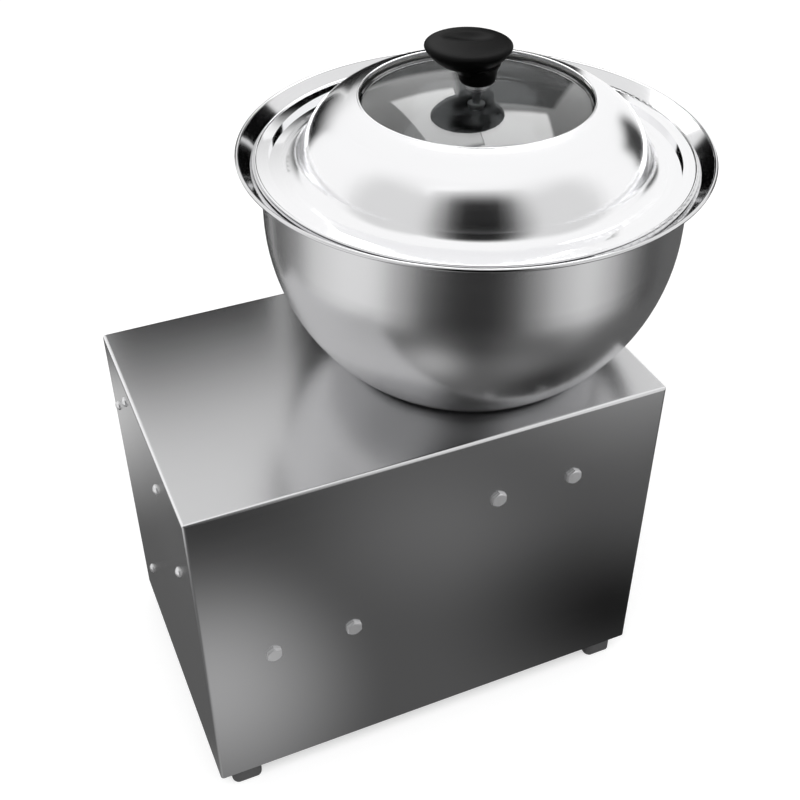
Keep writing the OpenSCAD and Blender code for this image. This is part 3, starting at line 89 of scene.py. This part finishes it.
# Knob. Its section is (share of its height, share of the way from the foot's radius to the head's).
KNOB_SECTION = [(0, -0.5), (0.005, -0.24), (0.03, -0.08), (0.09, -0.01), (0.2, 0.03), (0.32, 0.12),
                (0.46, 0.35), (0.62, 0.66), (0.76, 0.89), (0.84, 0.98), (0.88, 1), (0.915, 0.975),
                (0.945, 0.9), (0.967, 0.77), (0.982, 0.58), (0.992, 0.3)]
KNOB_SEGMENTS = 128
KNOB_TOP_RINGS = 22
KNOB_SMOOTH_ANGLE = 60
KNOB_FOOT_RADIUS = 11.3 * MM
KNOB_HEAD_RADIUS = (knob_high.x - knob_low.x) / 2
KNOB_HEIGHT = knob_high.z - knob_low.z
# The head leans off the bowl's axis. Up to LEAN_SHARE of the height the lean grows with the neck's width,
# and above that it is full.
HEAD_LEAN = Vector(((knob_low.x + knob_high.x) / 2, (knob_low.y + knob_high.y) / 2, 0)) - AXIS
LEAN_RATE = 1.5
LEAN_SHARE = 0.5
# Thumb dish, which sinks only what is above DISH_SHARE of the knob's height
DISH_ANGLE = math.radians(-25)
DISH_HALF_LENGTH = 18 * MM
DISH_HALF_WIDTH = 9.5 * MM
DISH_DEPTH = 2.2 * MM
DISH_SHIFT = 7 * MM
DISH_SHARE = 0.9


def dish_depth(place, height):
    """How far the thumb dish sinks a place at a height over the knob's foot."""
    if height <= KNOB_HEIGHT * DISH_SHARE:
        return 0
    across = Vector((math.cos(DISH_ANGLE), math.sin(DISH_ANGLE), 0))
    back = Vector((-across.y, across.x, 0))
    off = place - (AXIS + HEAD_LEAN + back * DISH_SHIFT)
    far = min(math.hypot(off.dot(across) / DISH_HALF_LENGTH, off.dot(back) / DISH_HALF_WIDTH), 1)
    return DISH_DEPTH * (1 - far * far) ** 2


def knob_radius(way):
    return KNOB_FOOT_RADIUS + (KNOB_HEAD_RADIUS - KNOB_FOOT_RADIUS) * way


def knob_outline():
    """The knob's rings from the foot up and in over the head: (radius, height, share of the lean)."""
    outline = []
    for share, way in smooth_path(KNOB_SECTION):
        lean = max(min(way * LEAN_RATE, 1), 0) if share < LEAN_SHARE else 1
        outline.append((knob_radius(way), KNOB_HEIGHT * share, lean))
    last_share, last_way = KNOB_SECTION[-1]
    for i in range(1, KNOB_TOP_RINGS):
        left = 1 - i / KNOB_TOP_RINGS
        outline.append((knob_radius(last_way) * left, KNOB_HEIGHT * (1 - (1 - last_share) * left ** 2), 1))
    return outline


def knob_ring(bm, radius, height, lean):
    ring = []
    for i in range(KNOB_SEGMENTS):
        angle = TURN * i / KNOB_SEGMENTS
        place = AXIS + HEAD_LEAN * lean + Vector((math.cos(angle), math.sin(angle), 0)) * radius
        ring.append(bm.verts.new((place.x, place.y, knob_low.z + height - dish_depth(place, height))))
    return ring


def make_knob():
    """Leaning knob of moulded plastic with a thumb dish in its top, in place of the CAD knob."""
    bm = bmesh.new()
    rings = [knob_ring(bm, *row) for row in knob_outline()]
    for below, above in zip(rings, rings[1:]):
        for i in range(KNOB_SEGMENTS):
            j = (i + 1) % KNOB_SEGMENTS
            bm.faces.new((below[i], below[j], above[j], above[i]))
    bm.faces.new(rings[-1])
    bm.faces.new(rings[0][::-1])
    knob = new_piece("knob_moulding", bm, KNOB_SMOOTH_ANGLE)
    knob.data.materials.append(finishes["black_plastic"])
    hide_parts("lid_knob")
    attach(knob, "lid")


# Node trees

def shader(name):
    """A node material, its tree and its Principled shader."""
    material = bpy.data.materials.new(name)
    material.use_nodes = True
    tree = material.node_tree
    return material, tree, tree.nodes["Principled BSDF"]


def empty_material(name):
    """A node material and its tree, with nothing in it."""
    material = bpy.data.materials.new(name)
    material.use_nodes = True
    material.node_tree.nodes.clear()
    return material, material.node_tree


def add(tree, kind, **values):
    """A new node with its settings and the constants on its inputs."""
    made = tree.nodes.new(kind)
    for key, value in values.items():
        if key in made.inputs:
            made.inputs[key].default_value = value
        else:
            setattr(made, key, value)
    return made


def is_output(value):
    return isinstance(value, bpy.types.NodeSocket)


def feed(tree, socket, value):
    """Gives an input its value: another node's output, or a constant."""
    if is_output(value):
        tree.links.new(value, socket)
    else:
        socket.default_value = value


def maths(tree, operation, first, second):
    made = add(tree, "ShaderNodeMath", operation=operation)
    feed(tree, made.inputs[0], first)
    feed(tree, made.inputs[1], second)
    return made.outputs[0]


def vector_maths(tree, operation, first, second=None):
    """A vector, or for LENGTH and DOT_PRODUCT a number, worked out from one or two vectors."""
    made = add(tree, "ShaderNodeVectorMath", operation=operation)
    feed(tree, made.inputs[0], first)
    if second is not None:
        feed(tree, made.inputs[1], second)
    return made.outputs["Value" if operation in ("LENGTH", "DOT_PRODUCT") else "Vector"]


def parts(tree, vector):
    """The X, Y and Z of a vector."""
    split = add(tree, "ShaderNodeSeparateXYZ")
    tree.links.new(vector, split.inputs[0])
    return split.outputs["X"], split.outputs["Y"], split.outputs["Z"]


def coordinates(tree, kind):
    return add(tree, "ShaderNodeTexCoord").outputs[kind]


def stretched(tree, scale):
    """Object coordinates, scaled along each axis."""
    mapping = add(tree, "ShaderNodeMapping", Scale=scale)
    tree.links.new(coordinates(tree, "Object"), mapping.inputs["Vector"])
    return mapping.outputs["Vector"]


def round_axis(tree, place, centre):
    """The level offset of a place from the vertical axis through centre, and the offset's length."""
    offset = vector_maths(tree, "SUBTRACT", place, (centre[0], centre[1], 0))
    level = vector_maths(tree, "MULTIPLY", offset, (1, 1, 0))
    return level, vector_maths(tree, "LENGTH", level)


def turned(tree, centre, round_scale, height_scale, angle_scale):
    """Coordinates for lines that run round the vertical axis through centre."""
    place = coordinates(tree, "Object")
    level, radius = round_axis(tree, place, centre)
    x, y, _ = parts(tree, level)
    _, _, height = parts(tree, place)
    angle = maths(tree, "ARCTAN2", y, x)
    joined = add(tree, "ShaderNodeCombineXYZ")
    for target, value, scale in (("X", radius, round_scale), ("Y", height, height_scale),
                                 ("Z", angle, angle_scale)):
        tree.links.new(maths(tree, "MULTIPLY", value, scale), joined.inputs[target])
    return joined.outputs[0]


def noise(tree, vector, scale=1.0, detail=3.0, roughness=0.5):
    made = add(tree, "ShaderNodeTexNoise", Scale=scale, Detail=detail, Roughness=roughness)
    tree.links.new(vector, made.inputs["Vector"])
    return made.outputs["Fac"]


def spread(tree, value, low, high, start=0.3, end=0.7, curve="LINEAR"):
    """Maps start to end onto low to high. The values of a noise lie mostly from 0.3 to 0.7."""
    made = add(tree, "ShaderNodeMapRange", interpolation_type=curve)
    tree.links.new(value, made.inputs["Value"])
    for key, number in (("From Min", start), ("From Max", end), ("To Min", low), ("To Max", high)):
        made.inputs[key].default_value = number
    return made.outputs["Result"]


def soft_step(tree, value, zero, one):
    """0 where the value is zero, 1 where it is one, and a soft step between them."""
    return spread(tree, value, 0, 1, zero, one, "SMOOTHSTEP")


def mixed(tree, factor, low, high):
    """Mixes two numbers, each an output or a constant."""
    made = add(tree, "ShaderNodeMix", data_type="FLOAT")
    tree.links.new(factor, made.inputs["Factor"])
    feed(tree, made.inputs["A"], low)
    feed(tree, made.inputs["B"], high)
    return made.outputs["Result"]


def tint(tree, factor, low, high):
    """Mixes two colours, each an output or a constant."""
    made = add(tree, "ShaderNodeMix", data_type="RGBA")
    tree.links.new(factor, made.inputs["Factor"])
    for key, colour in (("A", low), ("B", high)):
        feed(tree, made.inputs[key], colour if is_output(colour) else (*colour, 1))
    return made.outputs["Result"]


def relief(tree, bsdf, value, strength, depth):
    bump = add(tree, "ShaderNodeBump", Strength=strength, Distance=depth)
    tree.links.new(value, bump.inputs["Height"])
    tree.links.new(bump.outputs["Normal"], bsdf.inputs["Normal"])


# Colours

def grey(value):
    """A grey with a trace of blue."""
    return value, value, value * 1.01


def shades(colour, darker, lighter):
    return [c * darker for c in colour], [min(c * lighter, 1) for c in colour]


# Metals with brushed or turned lines

POLISH_DRIFT = 0.02
INSIDE_ROUGH = 0.08
SPUN_GRAIN = 0.01
ZONE_EDGE = 0.6 * MM


def fine_lines(tree, where):
    return noise(tree, where, detail=4, roughness=0.6)


def polish(tree, lines, rough, grain, cloud_scale):
    """Roughness that follows fine lines, with a slow, soft drift."""
    slow = noise(tree, stretched(tree, (cloud_scale, cloud_scale, cloud_scale)), detail=2)
    return maths(tree, "ADD", spread(tree, lines, rough - grain, rough + grain),
                 spread(tree, slow, -POLISH_DRIFT, POLISH_DRIFT))


def metal(name, colour, rough, grain, bump, metallic=1):
    """A metal with fine lines along Z."""
    material, tree, bsdf = shader(name)
    bsdf.inputs["Metallic"].default_value = metallic
    lines = fine_lines(tree, stretched(tree, (700, 700, 30)))
    tree.links.new(polish(tree, lines, rough, grain, cloud_scale=9), bsdf.inputs["Roughness"])
    tree.links.new(tint(tree, lines, *shades(colour, 0.96, 1.03)), bsdf.inputs["Base Color"])
    relief(tree, bsdf, lines, bump, depth=0.05 * MM)
    return material


def spun_metal(name, colour, middle_rough, zone_radius, outer_rough, line_scale, angle_scale):
    """Metal with lines round the bowl's axis. Its polish changes at a radius, and again on the inside,
    where the surface faces the axis."""
    material, tree, bsdf = shader(name)
    bsdf.inputs["Metallic"].default_value = 1
    level, radius = round_axis(tree, coordinates(tree, "Object"), AXIS)
    zones = spread(tree, radius, middle_rough, outer_rough,
                   start=zone_radius - ZONE_EDGE, end=zone_radius + ZONE_EDGE)
    outward = vector_maths(tree, "DOT_PRODUCT", level, coordinates(tree, "Normal"))
    rough = mixed(tree, maths(tree, "LESS_THAN", outward, 0), zones, INSIDE_ROUGH)
    lines = fine_lines(tree, turned(tree, AXIS, line_scale, line_scale, angle_scale))
    grain = spread(tree, lines, -SPUN_GRAIN, SPUN_GRAIN)
    tree.links.new(maths(tree, "ADD", rough, grain), bsdf.inputs["Roughness"])
    tree.links.new(tint(tree, lines, *shades(colour, 0.98, 1.02)), bsdf.inputs["Base Color"])
    relief(tree, bsdf, lines, strength=0.01, depth=0.03 * MM)
    return material


def make_bowl_steel():
    return spun_metal("satin_bowl_steel", grey(0.74), middle_rough=0.26, zone_radius=0.1365,
                      outer_rough=0.07, line_scale=1400, angle_scale=1.2)


def make_lid_steel():
    return spun_metal("polished_lid_steel", grey(0.93), middle_rough=0.17, zone_radius=0.121,
                      outer_rough=0.05, line_scale=900, angle_scale=0.8)


def make_plated_steel():
    return metal("plated_fastener_steel", grey(0.84), rough=0.36, grain=0.05, bump=0.05, metallic=0.75)


def make_machined_steel():
    return metal("turned_steel", grey(0.66), rough=0.22, grain=0.04, bump=0.04)


# Casing

CASING_GREY = 0.6
CASING_ROUGH = 0.22
CASING_GRAIN = 0.012
# Grey of the rounded folds, paler than the faces: a painted highlight along the casing's edges
FOLD_HIGHLIGHT_GREY = 0.88
LINES_ALONG_X = (5, 1100, 1100)
LINES_ALONG_Y = (1100, 5, 1100)


def casing_faces(tree):
    """1 on the rounded folds and 0 on the flat faces, and 1 on the ends and 0 on the other faces."""
    x, y, z = parts(tree, vector_maths(tree, "ABSOLUTE", coordinates(tree, "Normal")))
    largest = maths(tree, "MAXIMUM", maths(tree, "MAXIMUM", x, y), z)
    return spread(tree, largest, 1, 0, start=0.85, end=0.995), x


def make_casing_steel():
    """Satin sheet, brushed along Y on the ends and X elsewhere, with a painted highlight on its folds."""
    material, tree, bsdf = shader("casing_satin_steel")
    bsdf.inputs["Metallic"].default_value = 1
    folds, ends = casing_faces(tree)
    along_x = fine_lines(tree, stretched(tree, LINES_ALONG_X))
    along_y = fine_lines(tree, stretched(tree, LINES_ALONG_Y))
    lines = mixed(tree, spread(tree, ends, 0, 1, start=0.6, end=0.8), along_x, along_y)
    tree.links.new(polish(tree, lines, CASING_ROUGH, CASING_GRAIN, cloud_scale=6), bsdf.inputs["Roughness"])
    satin = tint(tree, lines, *shades(grey(CASING_GREY), 0.985, 1.015))
    # The folds take the paler grey: a painted highlight.
    tree.links.new(tint(tree, folds, satin, grey(FOLD_HIGHLIGHT_GREY)), bsdf.inputs["Base Color"])
    relief(tree, bsdf, lines, strength=0.01, depth=0.02 * MM)
    return material


# Materials with a fine even texture

PLAIN_DRIFT = 0.05


def plain(name, colour, rough, scale, bump, depth, metallic=0.0, spotted=0.1):
    """A moulding, casting or rubber. Its colour varies by the share spotted, and depth is in millimetres."""
    material, tree, bsdf = shader(name)
    bsdf.inputs["Metallic"].default_value = metallic
    where = coordinates(tree, "Object")
    fine = noise(tree, where, scale, roughness=0.6)
    slow = noise(tree, where, scale=14)
    tree.links.new(spread(tree, slow, rough - PLAIN_DRIFT, rough + PLAIN_DRIFT), bsdf.inputs["Roughness"])
    tree.links.new(tint(tree, fine, *shades(colour, 1 - spotted, 1 + spotted)), bsdf.inputs["Base Color"])
    relief(tree, bsdf, fine, bump, depth * MM)
    return material


def make_black_steel():
    return plain("blackened_steel", grey(0.05), rough=0.4, scale=500, bump=0.08, depth=0.03, metallic=0.6)


def make_cast_alloy():
    return plain("cast_aluminium", (0.56, 0.57, 0.58), rough=0.5, scale=900, bump=0.3, depth=0.1,
                 metallic=1.0, spotted=0.08)


def make_belt_rubber():
    return plain("belt_rubber", grey(0.025), rough=0.65, scale=900, bump=0.3, depth=0.1)


def make_foot_rubber():
    return plain("foot_rubber", grey(0.105), rough=0.6, scale=700, bump=0.2, depth=0.06)


def make_seal_rubber():
    return plain("seal_rubber", grey(0.03), rough=0.5, scale=600, bump=0.15, depth=0.05)


def make_silicone():
    return plain("white_silicone", (0.72, 0.72, 0.7), rough=0.42, scale=300, bump=0.05, depth=0.03,
                 spotted=0.03)


def make_dark_plastic():
    return plain("dark_moulding", grey(0.03), rough=0.5, scale=900, bump=0.2, depth=0.05)


def make_pale_plastic():
    return plain("pale_moulding", (0.7, 0.7, 0.67), rough=0.45, scale=500, bump=0.1, depth=0.04,
                 spotted=0.04)


# Other materials

def make_galvanised():
    """Zinc coat with the flakes of its crystals."""
    material, tree, bsdf = shader("galvanised_coat")
    bsdf.inputs["Metallic"].default_value = 0.9
    where = coordinates(tree, "Object")
    cells = add(tree, "ShaderNodeTexVoronoi", Scale=140.0)
    tree.links.new(where, cells.inputs["Vector"])
    flakes = add(tree, "ShaderNodeSeparateColor")
    tree.links.new(cells.outputs["Color"], flakes.inputs[0])
    colour = tint(tree, flakes.outputs[0], (0.44, 0.45, 0.46), (0.62, 0.63, 0.64))
    tree.links.new(colour, bsdf.inputs["Base Color"])
    grain = noise(tree, where, scale=60, detail=4)
    tree.links.new(spread(tree, grain, 0.38, 0.52), bsdf.inputs["Roughness"])
    return material


def make_laminations():
    """The edges of a stack of thin sheets."""
    material, tree, bsdf = shader("stacked_laminations")
    bsdf.inputs["Metallic"].default_value = 0.8
    bsdf.inputs["Roughness"].default_value = 0.5
    bands = add(tree, "ShaderNodeTexWave", wave_type="BANDS", bands_direction="Z", Scale=320.0,
                Distortion=0.2)
    tree.links.new(coordinates(tree, "Object"), bands.inputs["Vector"])
    sheets = bands.outputs["Fac"]
    tree.links.new(tint(tree, sheets, (0.12, 0.12, 0.13), (0.32, 0.32, 0.33)), bsdf.inputs["Base Color"])
    relief(tree, bsdf, sheets, strength=0.4, depth=0.2 * MM)
    return material


def make_windings():
    """Enamelled copper wire, wound round the motor's axis."""
    material, tree, bsdf = shader("enamelled_windings")
    bsdf.inputs["Metallic"].default_value = 0.7
    bsdf.inputs["Coat Weight"].default_value = 0.4
    bsdf.inputs["Roughness"].default_value = 0.35
    centre = ((windings_low.x + windings_high.x) / 2, 0)
    strands = noise(tree, turned(tree, centre, round_scale=900, height_scale=900, angle_scale=3))
    tree.links.new(tint(tree, strands, (0.4, 0.14, 0.05), (0.8, 0.38, 0.16)), bsdf.inputs["Base Color"])
    relief(tree, bsdf, strands, strength=0.6, depth=0.4 * MM)
    return material


def make_bakelite():
    """Black moulding, duller and paler where it looks up: hands and dust there, and painted top light."""
    material, tree, bsdf = shader("knob_bakelite")
    bsdf.inputs["Specular IOR Level"].default_value = 0.06
    bsdf.inputs["IOR"].default_value = 1.35
    where = coordinates(tree, "Object")
    fine = noise(tree, where, scale=700, roughness=0.6)
    slow = noise(tree, where, scale=60, detail=4, roughness=0.6)
    _, _, normal_z = parts(tree, coordinates(tree, "Normal"))
    up = spread(tree, normal_z, 0, 1, start=0.35, end=0.95)
    dust_and_top_light = maths(tree, "MULTIPLY", up, spread(tree, slow, 0.7, 1.0))
    # Paler on the faces that look up: partly dust, partly painted light from above.
    tree.links.new(tint(tree, dust_and_top_light, grey(0.002), grey(0.005)), bsdf.inputs["Base Color"])
    tree.links.new(spread(tree, up, 0.3, 0.42, start=0, end=1), bsdf.inputs["Roughness"])
    relief(tree, bsdf, fine, strength=0.05, depth=0.03 * MM)
    return material


def make_glass():
    """Tinted window glass with faint smears."""
    material, tree, bsdf = shader("window_float_glass")
    bsdf.inputs["Transmission Weight"].default_value = 1
    bsdf.inputs["IOR"].default_value = 1.75
    smears = noise(tree, stretched(tree, (20, 26, 20)), detail=4)
    tree.links.new(spread(tree, smears, 0.0, 0.03), bsdf.inputs["Roughness"])
    tree.links.new(tint(tree, smears, (0.41, 0.42, 0.42), (0.47, 0.48, 0.48)), bsdf.inputs["Base Color"])
    return material


# The record's material slots and their finishes
finishes = {
    "brushed_steel_sheet": make_casing_steel(),
    "polished_steel": make_lid_steel(),
    "satin_steel": make_bowl_steel(),
    "plated_steel": make_plated_steel(),
    "black_steel": make_black_steel(),
    "galvanised_sheet": make_galvanised(),
    "cast_alloy": make_cast_alloy(),
    "lamination_steel": make_laminations(),
    "machined_steel": make_machined_steel(),
    "copper_wire": make_windings(),
    "drive_rubber": make_belt_rubber(),
    "foot_rubber": make_foot_rubber(),
    "white_silicone": make_silicone(),
    "seal_rubber": make_seal_rubber(),
    "window_glass": make_glass(),
    "black_plastic": make_bakelite(),
    "dark_plastic": make_dark_plastic(),
    "pale_plastic": make_pale_plastic(),
}


def dress_frame():
    """Gives every CAD node the finish of its slot in the record."""
    slots = {part["node"]: part["material_slot"] for part in frame["record"]["subparts"]}
    for name, piece in frame["nodes"].items():
        for place in piece.material_slots:
            place.material = finishes[slots[name]]


# Camera, fitted to the photograph

CAMERA_PLACE = (-0.24426, -0.60206, 0.74444)
CAMERA_DOWN = math.radians(38.48)
CAMERA_TURN = math.radians(-23.49)
CAMERA_LENS = 53.355
CAMERA_SENSOR = 36


def make_camera():
    data = bpy.data.cameras.new("photo_camera")
    data.lens = CAMERA_LENS
    data.sensor_width = CAMERA_SENSOR
    camera = bpy.data.objects.new("photo_camera", data)
    camera.location = CAMERA_PLACE
    camera.rotation_euler = (TURN / 4 - CAMERA_DOWN, 0, CAMERA_TURN)
    bpy.context.scene.collection.objects.link(camera)
    bpy.context.scene.camera = camera


# World and floor

WHITE = (1, 1, 1, 1)
WORLD_LIGHT = 0.72
# Reflections of the world are a little greyer on this side, except high up
GREYER_SIDE = (-0.41, -0.91, 0)
REFLECTED_GREY = 0.72
FLOOR_RADIUS = 9
FLOOR_DROP = 0.2 * MM
FLOOR_GREY = (0.55, 0.55, 0.55, 1)
FLOOR_GLOW = 0.62
FLOOR_SHADE = 0.04


def seen_white(tree):
    """1 for rays of the camera, reflections and glass, and 0 for the light that falls on surfaces."""
    rays = add(tree, "ShaderNodeLightPath").outputs
    direct = maths(tree, "MAXIMUM", rays["Is Camera Ray"], rays["Is Glossy Ray"])
    return maths(tree, "MAXIMUM", direct, rays["Is Transmission Ray"])


def reflected_tone(tree):
    """White, but for reflections a little greyer on one side, except high up."""
    direction = coordinates(tree, "Generated")
    _, _, height = parts(tree, direction)
    side = vector_maths(tree, "DOT_PRODUCT", direction, GREYER_SIDE)
    low_side = maths(tree, "MULTIPLY", soft_step(tree, height, zero=0.95, one=0.6),
                     soft_step(tree, side, zero=-0.1, one=0.3))
    glossy = add(tree, "ShaderNodeLightPath").outputs["Is Glossy Ray"]
    return mixed(tree, maths(tree, "MULTIPLY", low_side, glossy), 1.0, REFLECTED_GREY)


def make_world():
    world = bpy.data.worlds.new("studio")
    bpy.context.scene.world = world
    world.use_nodes = True
    tree = world.node_tree
    tree.nodes.clear()
    light = add(tree, "ShaderNodeBackground", Color=WHITE, Strength=WORLD_LIGHT)
    white = add(tree, "ShaderNodeBackground", Color=WHITE)
    tree.links.new(reflected_tone(tree), white.inputs["Strength"])
    mix = add(tree, "ShaderNodeMixShader")
    tree.links.new(seen_white(tree), mix.inputs[0])
    tree.links.new(light.outputs[0], mix.inputs[1])
    tree.links.new(white.outputs[0], mix.inputs[2])
    out = add(tree, "ShaderNodeOutputWorld")
    tree.links.new(mix.outputs[0], out.inputs["Surface"])


def under_casing(tree):
    """1 well under the casing, where no light reaches the floor, and 0 from its outline outwards."""
    x, y, _ = parts(tree, vector_maths(tree, "ABSOLUTE", coordinates(tree, "Object")))
    return maths(tree, "MULTIPLY", soft_step(tree, x, casing_high.x, casing_high.x - FLOOR_SHADE),
                 soft_step(tree, y, casing_high.y, casing_high.y - FLOOR_SHADE))


def make_floor_paint():
    """Matt grey that also glows for the camera and reflections, so that the floor shows white."""
    material, tree = empty_material("pale_floor")
    matt = add(tree, "ShaderNodeBsdfDiffuse", Color=FLOOR_GREY)
    glow = add(tree, "ShaderNodeEmission", Color=WHITE)
    strength = mixed(tree, under_casing(tree), FLOOR_GLOW, 0)
    tree.links.new(maths(tree, "MULTIPLY", seen_white(tree), strength), glow.inputs["Strength"])
    both = add(tree, "ShaderNodeAddShader")
    tree.links.new(matt.outputs[0], both.inputs[0])
    tree.links.new(glow.outputs[0], both.inputs[1])
    out = add(tree, "ShaderNodeOutputMaterial")
    tree.links.new(both.outputs[0], out.inputs["Surface"])
    return material


def make_floor():
    bm = bmesh.new()
    bmesh.ops.create_circle(bm, cap_ends=True, segments=96, radius=FLOOR_RADIUS)
    floor = new_piece("studio_floor", bm)
    floor.location = (0, 0, -FLOOR_DROP)
    floor.data.materials.append(make_floor_paint())


# Lamps

LAMP_TARGET = (0.03, 0, 0.25)


def lamp(name, place, size, power):
    """A square soft lamp, which doesn't show in reflections."""
    data = bpy.data.lights.new(name, "AREA")
    data.shape = "RECTANGLE"
    data.size = size
    data.size_y = size
    data.energy = power
    light = bpy.data.objects.new(name, data)
    light.location = place
    light.rotation_euler = (Vector(LAMP_TARGET) - Vector(place)).to_track_quat("-Z", "Y").to_euler()
    light.visible_glossy = False
    bpy.context.scene.collection.objects.link(light)


def make_lamps():
    lamp("key_softbox", place=(-0.9, -0.7, 1.7), size=0.9, power=9)
    lamp("fill_softbox", place=(1.3, -0.9, 1.2), size=0.8, power=4)


# Studio cards, which only reflections see

# A card is a square of this half size before it is scaled. The upright cards reach down to CARD_FOOT.
CARD_HALF = 0.5
CARD_FOOT = -0.6


def glowing(tree, strength):
    """Makes the material of the tree a plain glow."""
    glow = add(tree, "ShaderNodeEmission", Color=WHITE)
    tree.links.new(strength, glow.inputs["Strength"])
    out = add(tree, "ShaderNodeOutputMaterial")
    tree.links.new(glow.outputs[0], out.inputs["Surface"])


def reflection_only(piece, material):
    piece.data.materials.append(material)
    piece.visible_camera = False
    piece.visible_diffuse = False
    piece.visible_transmission = False
    piece.visible_shadow = False


def soft_card(name, place, facing, size, tone, soft, edge=1.0):
    """A card with its tone in the middle. It turns to the edge's tone over the soft shares of its size."""
    bm = bmesh.new()
    bmesh.ops.create_grid(bm, x_segments=4, y_segments=4, size=CARD_HALF)
    piece = new_piece(name, bm)
    piece.location = place
    piece.rotation_euler = (Vector(facing) - Vector(place)).to_track_quat("Z", "Y").to_euler()
    piece.scale = (*size, 1)
    material, tree = empty_material(name)
    x, y, _ = parts(tree, vector_maths(tree, "ABSOLUTE", coordinates(tree, "Object")))
    middle = maths(tree, "MULTIPLY", soft_step(tree, x, CARD_HALF, CARD_HALF - soft[0]),
                   soft_step(tree, y, CARD_HALF, CARD_HALF - soft[1]))
    glowing(tree, mixed(tree, middle, edge, tone))
    reflection_only(piece, material)


def upright_card(name, azimuth, distance, width, top, tone, soft_x, soft_y, edge=1.0):
    """A soft card that stands round the bowl's axis. Azimuth 0 is +Y, and it grows towards +X."""
    angle = math.radians(azimuth)
    height = top - CARD_FOOT
    away = Vector((math.sin(angle), math.cos(angle), 0)) * distance
    middle = AXIS + Vector((0, 0, (CARD_FOOT + top) / 2))
    soft_card(name, middle + away, middle, (width, height), tone, (soft_x / width, soft_y / height), edge)


def make_steel_cards():
    """Cards round the mixer, for the light and dark zones of its steel."""
    soft_card("dark_card_behind", place=(-0.02, 0.35, 0.26), facing=(-0.02, 0, 0.26), size=(0.3, 0.72),
              tone=0.0, soft=(0.17, 0.28))
    upright_card("dark_card_right", azimuth=72, distance=1.6, width=0.9, top=1.1, tone=0.03,
                 soft_x=0.25, soft_y=0.4)
    upright_card("dark_card_at_camera", azimuth=202, distance=0.8, width=1.25, top=1.75, tone=0.0,
                 soft_x=0.5, soft_y=0.75, edge=REFLECTED_GREY)
    soft_card("bright_card_above", place=(-0.5, -0.9, 1.5), facing=(0, 0, 0.2), size=(1.2, 0.9),
              tone=1.7, soft=(0.4, 0.4))


def make_window_cards():
    """Cards close behind the lid, for the light and dark zones of its window."""
    soft_card("bright_window_card_left", place=(0.152, 0.29, 0.74), facing=(0.152, 0, 0.6),
              size=(0.125, 0.28), tone=3.6, soft=(0.03, 0.08))
    soft_card("bright_window_card_right", place=(0.322, 0.295, 0.85), facing=(0.322, 0, 0.6),
              size=(0.24, 0.2), tone=4.6, soft=(0.06, 0.15))
    soft_card("dark_window_card", place=(0.29, 0.31, 0.54), facing=(0.25, 0, 0.5), size=(0.2, 0.32),
              tone=0.0, soft=(0.08, 0.06))
    soft_card("dark_window_card_low", place=(0.12, 0.3, 0.44), facing=(0.12, 0, 0.44), size=(0.2, 0.17),
              tone=0.0, soft=(0.1, 0.15))


# Reflected table. Spots are (x, y, half sizes, tone), and sectors (degrees round the bowl's axis, tone).

TABLE_HALF = 2.2
TABLE_LIFT = 1 * MM
TABLE_TONE = 0.118
TABLE_SPOTS = [(-0.148, -0.20, 0.14, 0.155, 0.57),
               (-0.10, -0.40, 0.18, 0.15, 0.02),
               (0.09, -0.29, 0.14, 0.12, 0.20),
               (0.18, -0.15, 0.17, 0.12, 0.01),
               (0.33, -0.38, 0.15, 0.12, 0.28),
               (-0.20, 0.38, 0.17, 0.22, 0.70)]
TABLE_SECTORS = [(-180, 0.95), (-165, 0.95), (-150, 0.45), (-137, 0.05), (-125, 0.0), (-106, 0.0),
                 (-96, 0.05), (-84, 0.3), (-72, 0.65), (-58, 0.85), (-45, 0.6), (-32, 0.22), (-18, 0.05),
                 (0, 0.12), (60, 0.08), (120, 0.06), (142, 0.25), (162, 0.8), (180, 0.95)]
# Distances from the bowl's axis where the sectors begin and are full, and where the table turns white
SECTORS_BEGIN = 0.46
SECTORS_FULL = 0.58
WHITE_BEGINS = 1.0
WHITE_FULL = 1.9


def spot_tones(tree, place):
    """The tone of the table near the casing, with its soft spots."""
    tone = TABLE_TONE
    for x, y, half_x, half_y, spot in TABLE_SPOTS:
        offset = vector_maths(tree, "SUBTRACT", place, (x, y, 0))
        far = vector_maths(tree, "LENGTH", vector_maths(tree, "DIVIDE", offset, (half_x, half_y, 1)))
        tone = mixed(tree, soft_step(tree, far, 1, 0), tone, spot)
    return tone


def sector_tones(tree, level):
    """The tone of the table sector that a level offset from the bowl's axis points to."""
    x, y, _ = parts(tree, level)
    angle = maths(tree, "ARCTAN2", y, x)
    sectors = add(tree, "ShaderNodeValToRGB")
    tree.links.new(spread(tree, angle, 0, 1, -math.pi, math.pi), sectors.inputs["Fac"])
    ramp = sectors.color_ramp
    ramp.interpolation = "EASE"
    for i, (degrees, tone) in enumerate(TABLE_SECTORS):
        place = (degrees + 180) / 360
        stop = ramp.elements[i] if i < 2 else ramp.elements.new(place)
        stop.position = place
        stop.color = (tone, tone, tone, 1)
    return sectors.outputs["Color"]


def make_table_card():
    """What the steel reflects of the table: spots near the casing, sectors further out, white far away."""
    bm = bmesh.new()
    bmesh.ops.create_grid(bm, x_segments=8, y_segments=8, size=TABLE_HALF)
    piece = new_piece("reflected_table", bm)
    piece.location = (0, 0, TABLE_LIFT)
    material, tree = empty_material("reflected_table")
    place = add(tree, "ShaderNodeNewGeometry").outputs["Position"]
    level, radius = round_axis(tree, place, AXIS)
    tone = mixed(tree, soft_step(tree, radius, SECTORS_BEGIN, SECTORS_FULL), spot_tones(tree, place),
                 sector_tones(tree, level))
    glowing(tree, mixed(tree, soft_step(tree, radius, WHITE_BEGINS, WHITE_FULL), tone, 1.0))
    reflection_only(piece, material)


def make_studio():
    make_world()
    make_floor()
    make_lamps()
    make_table_card()
    make_steel_cards()
    make_window_cards()


dress_frame()
make_knob()
make_camera()
make_studio()

bpy.context.scene.view_settings.view_transform = "Standard"
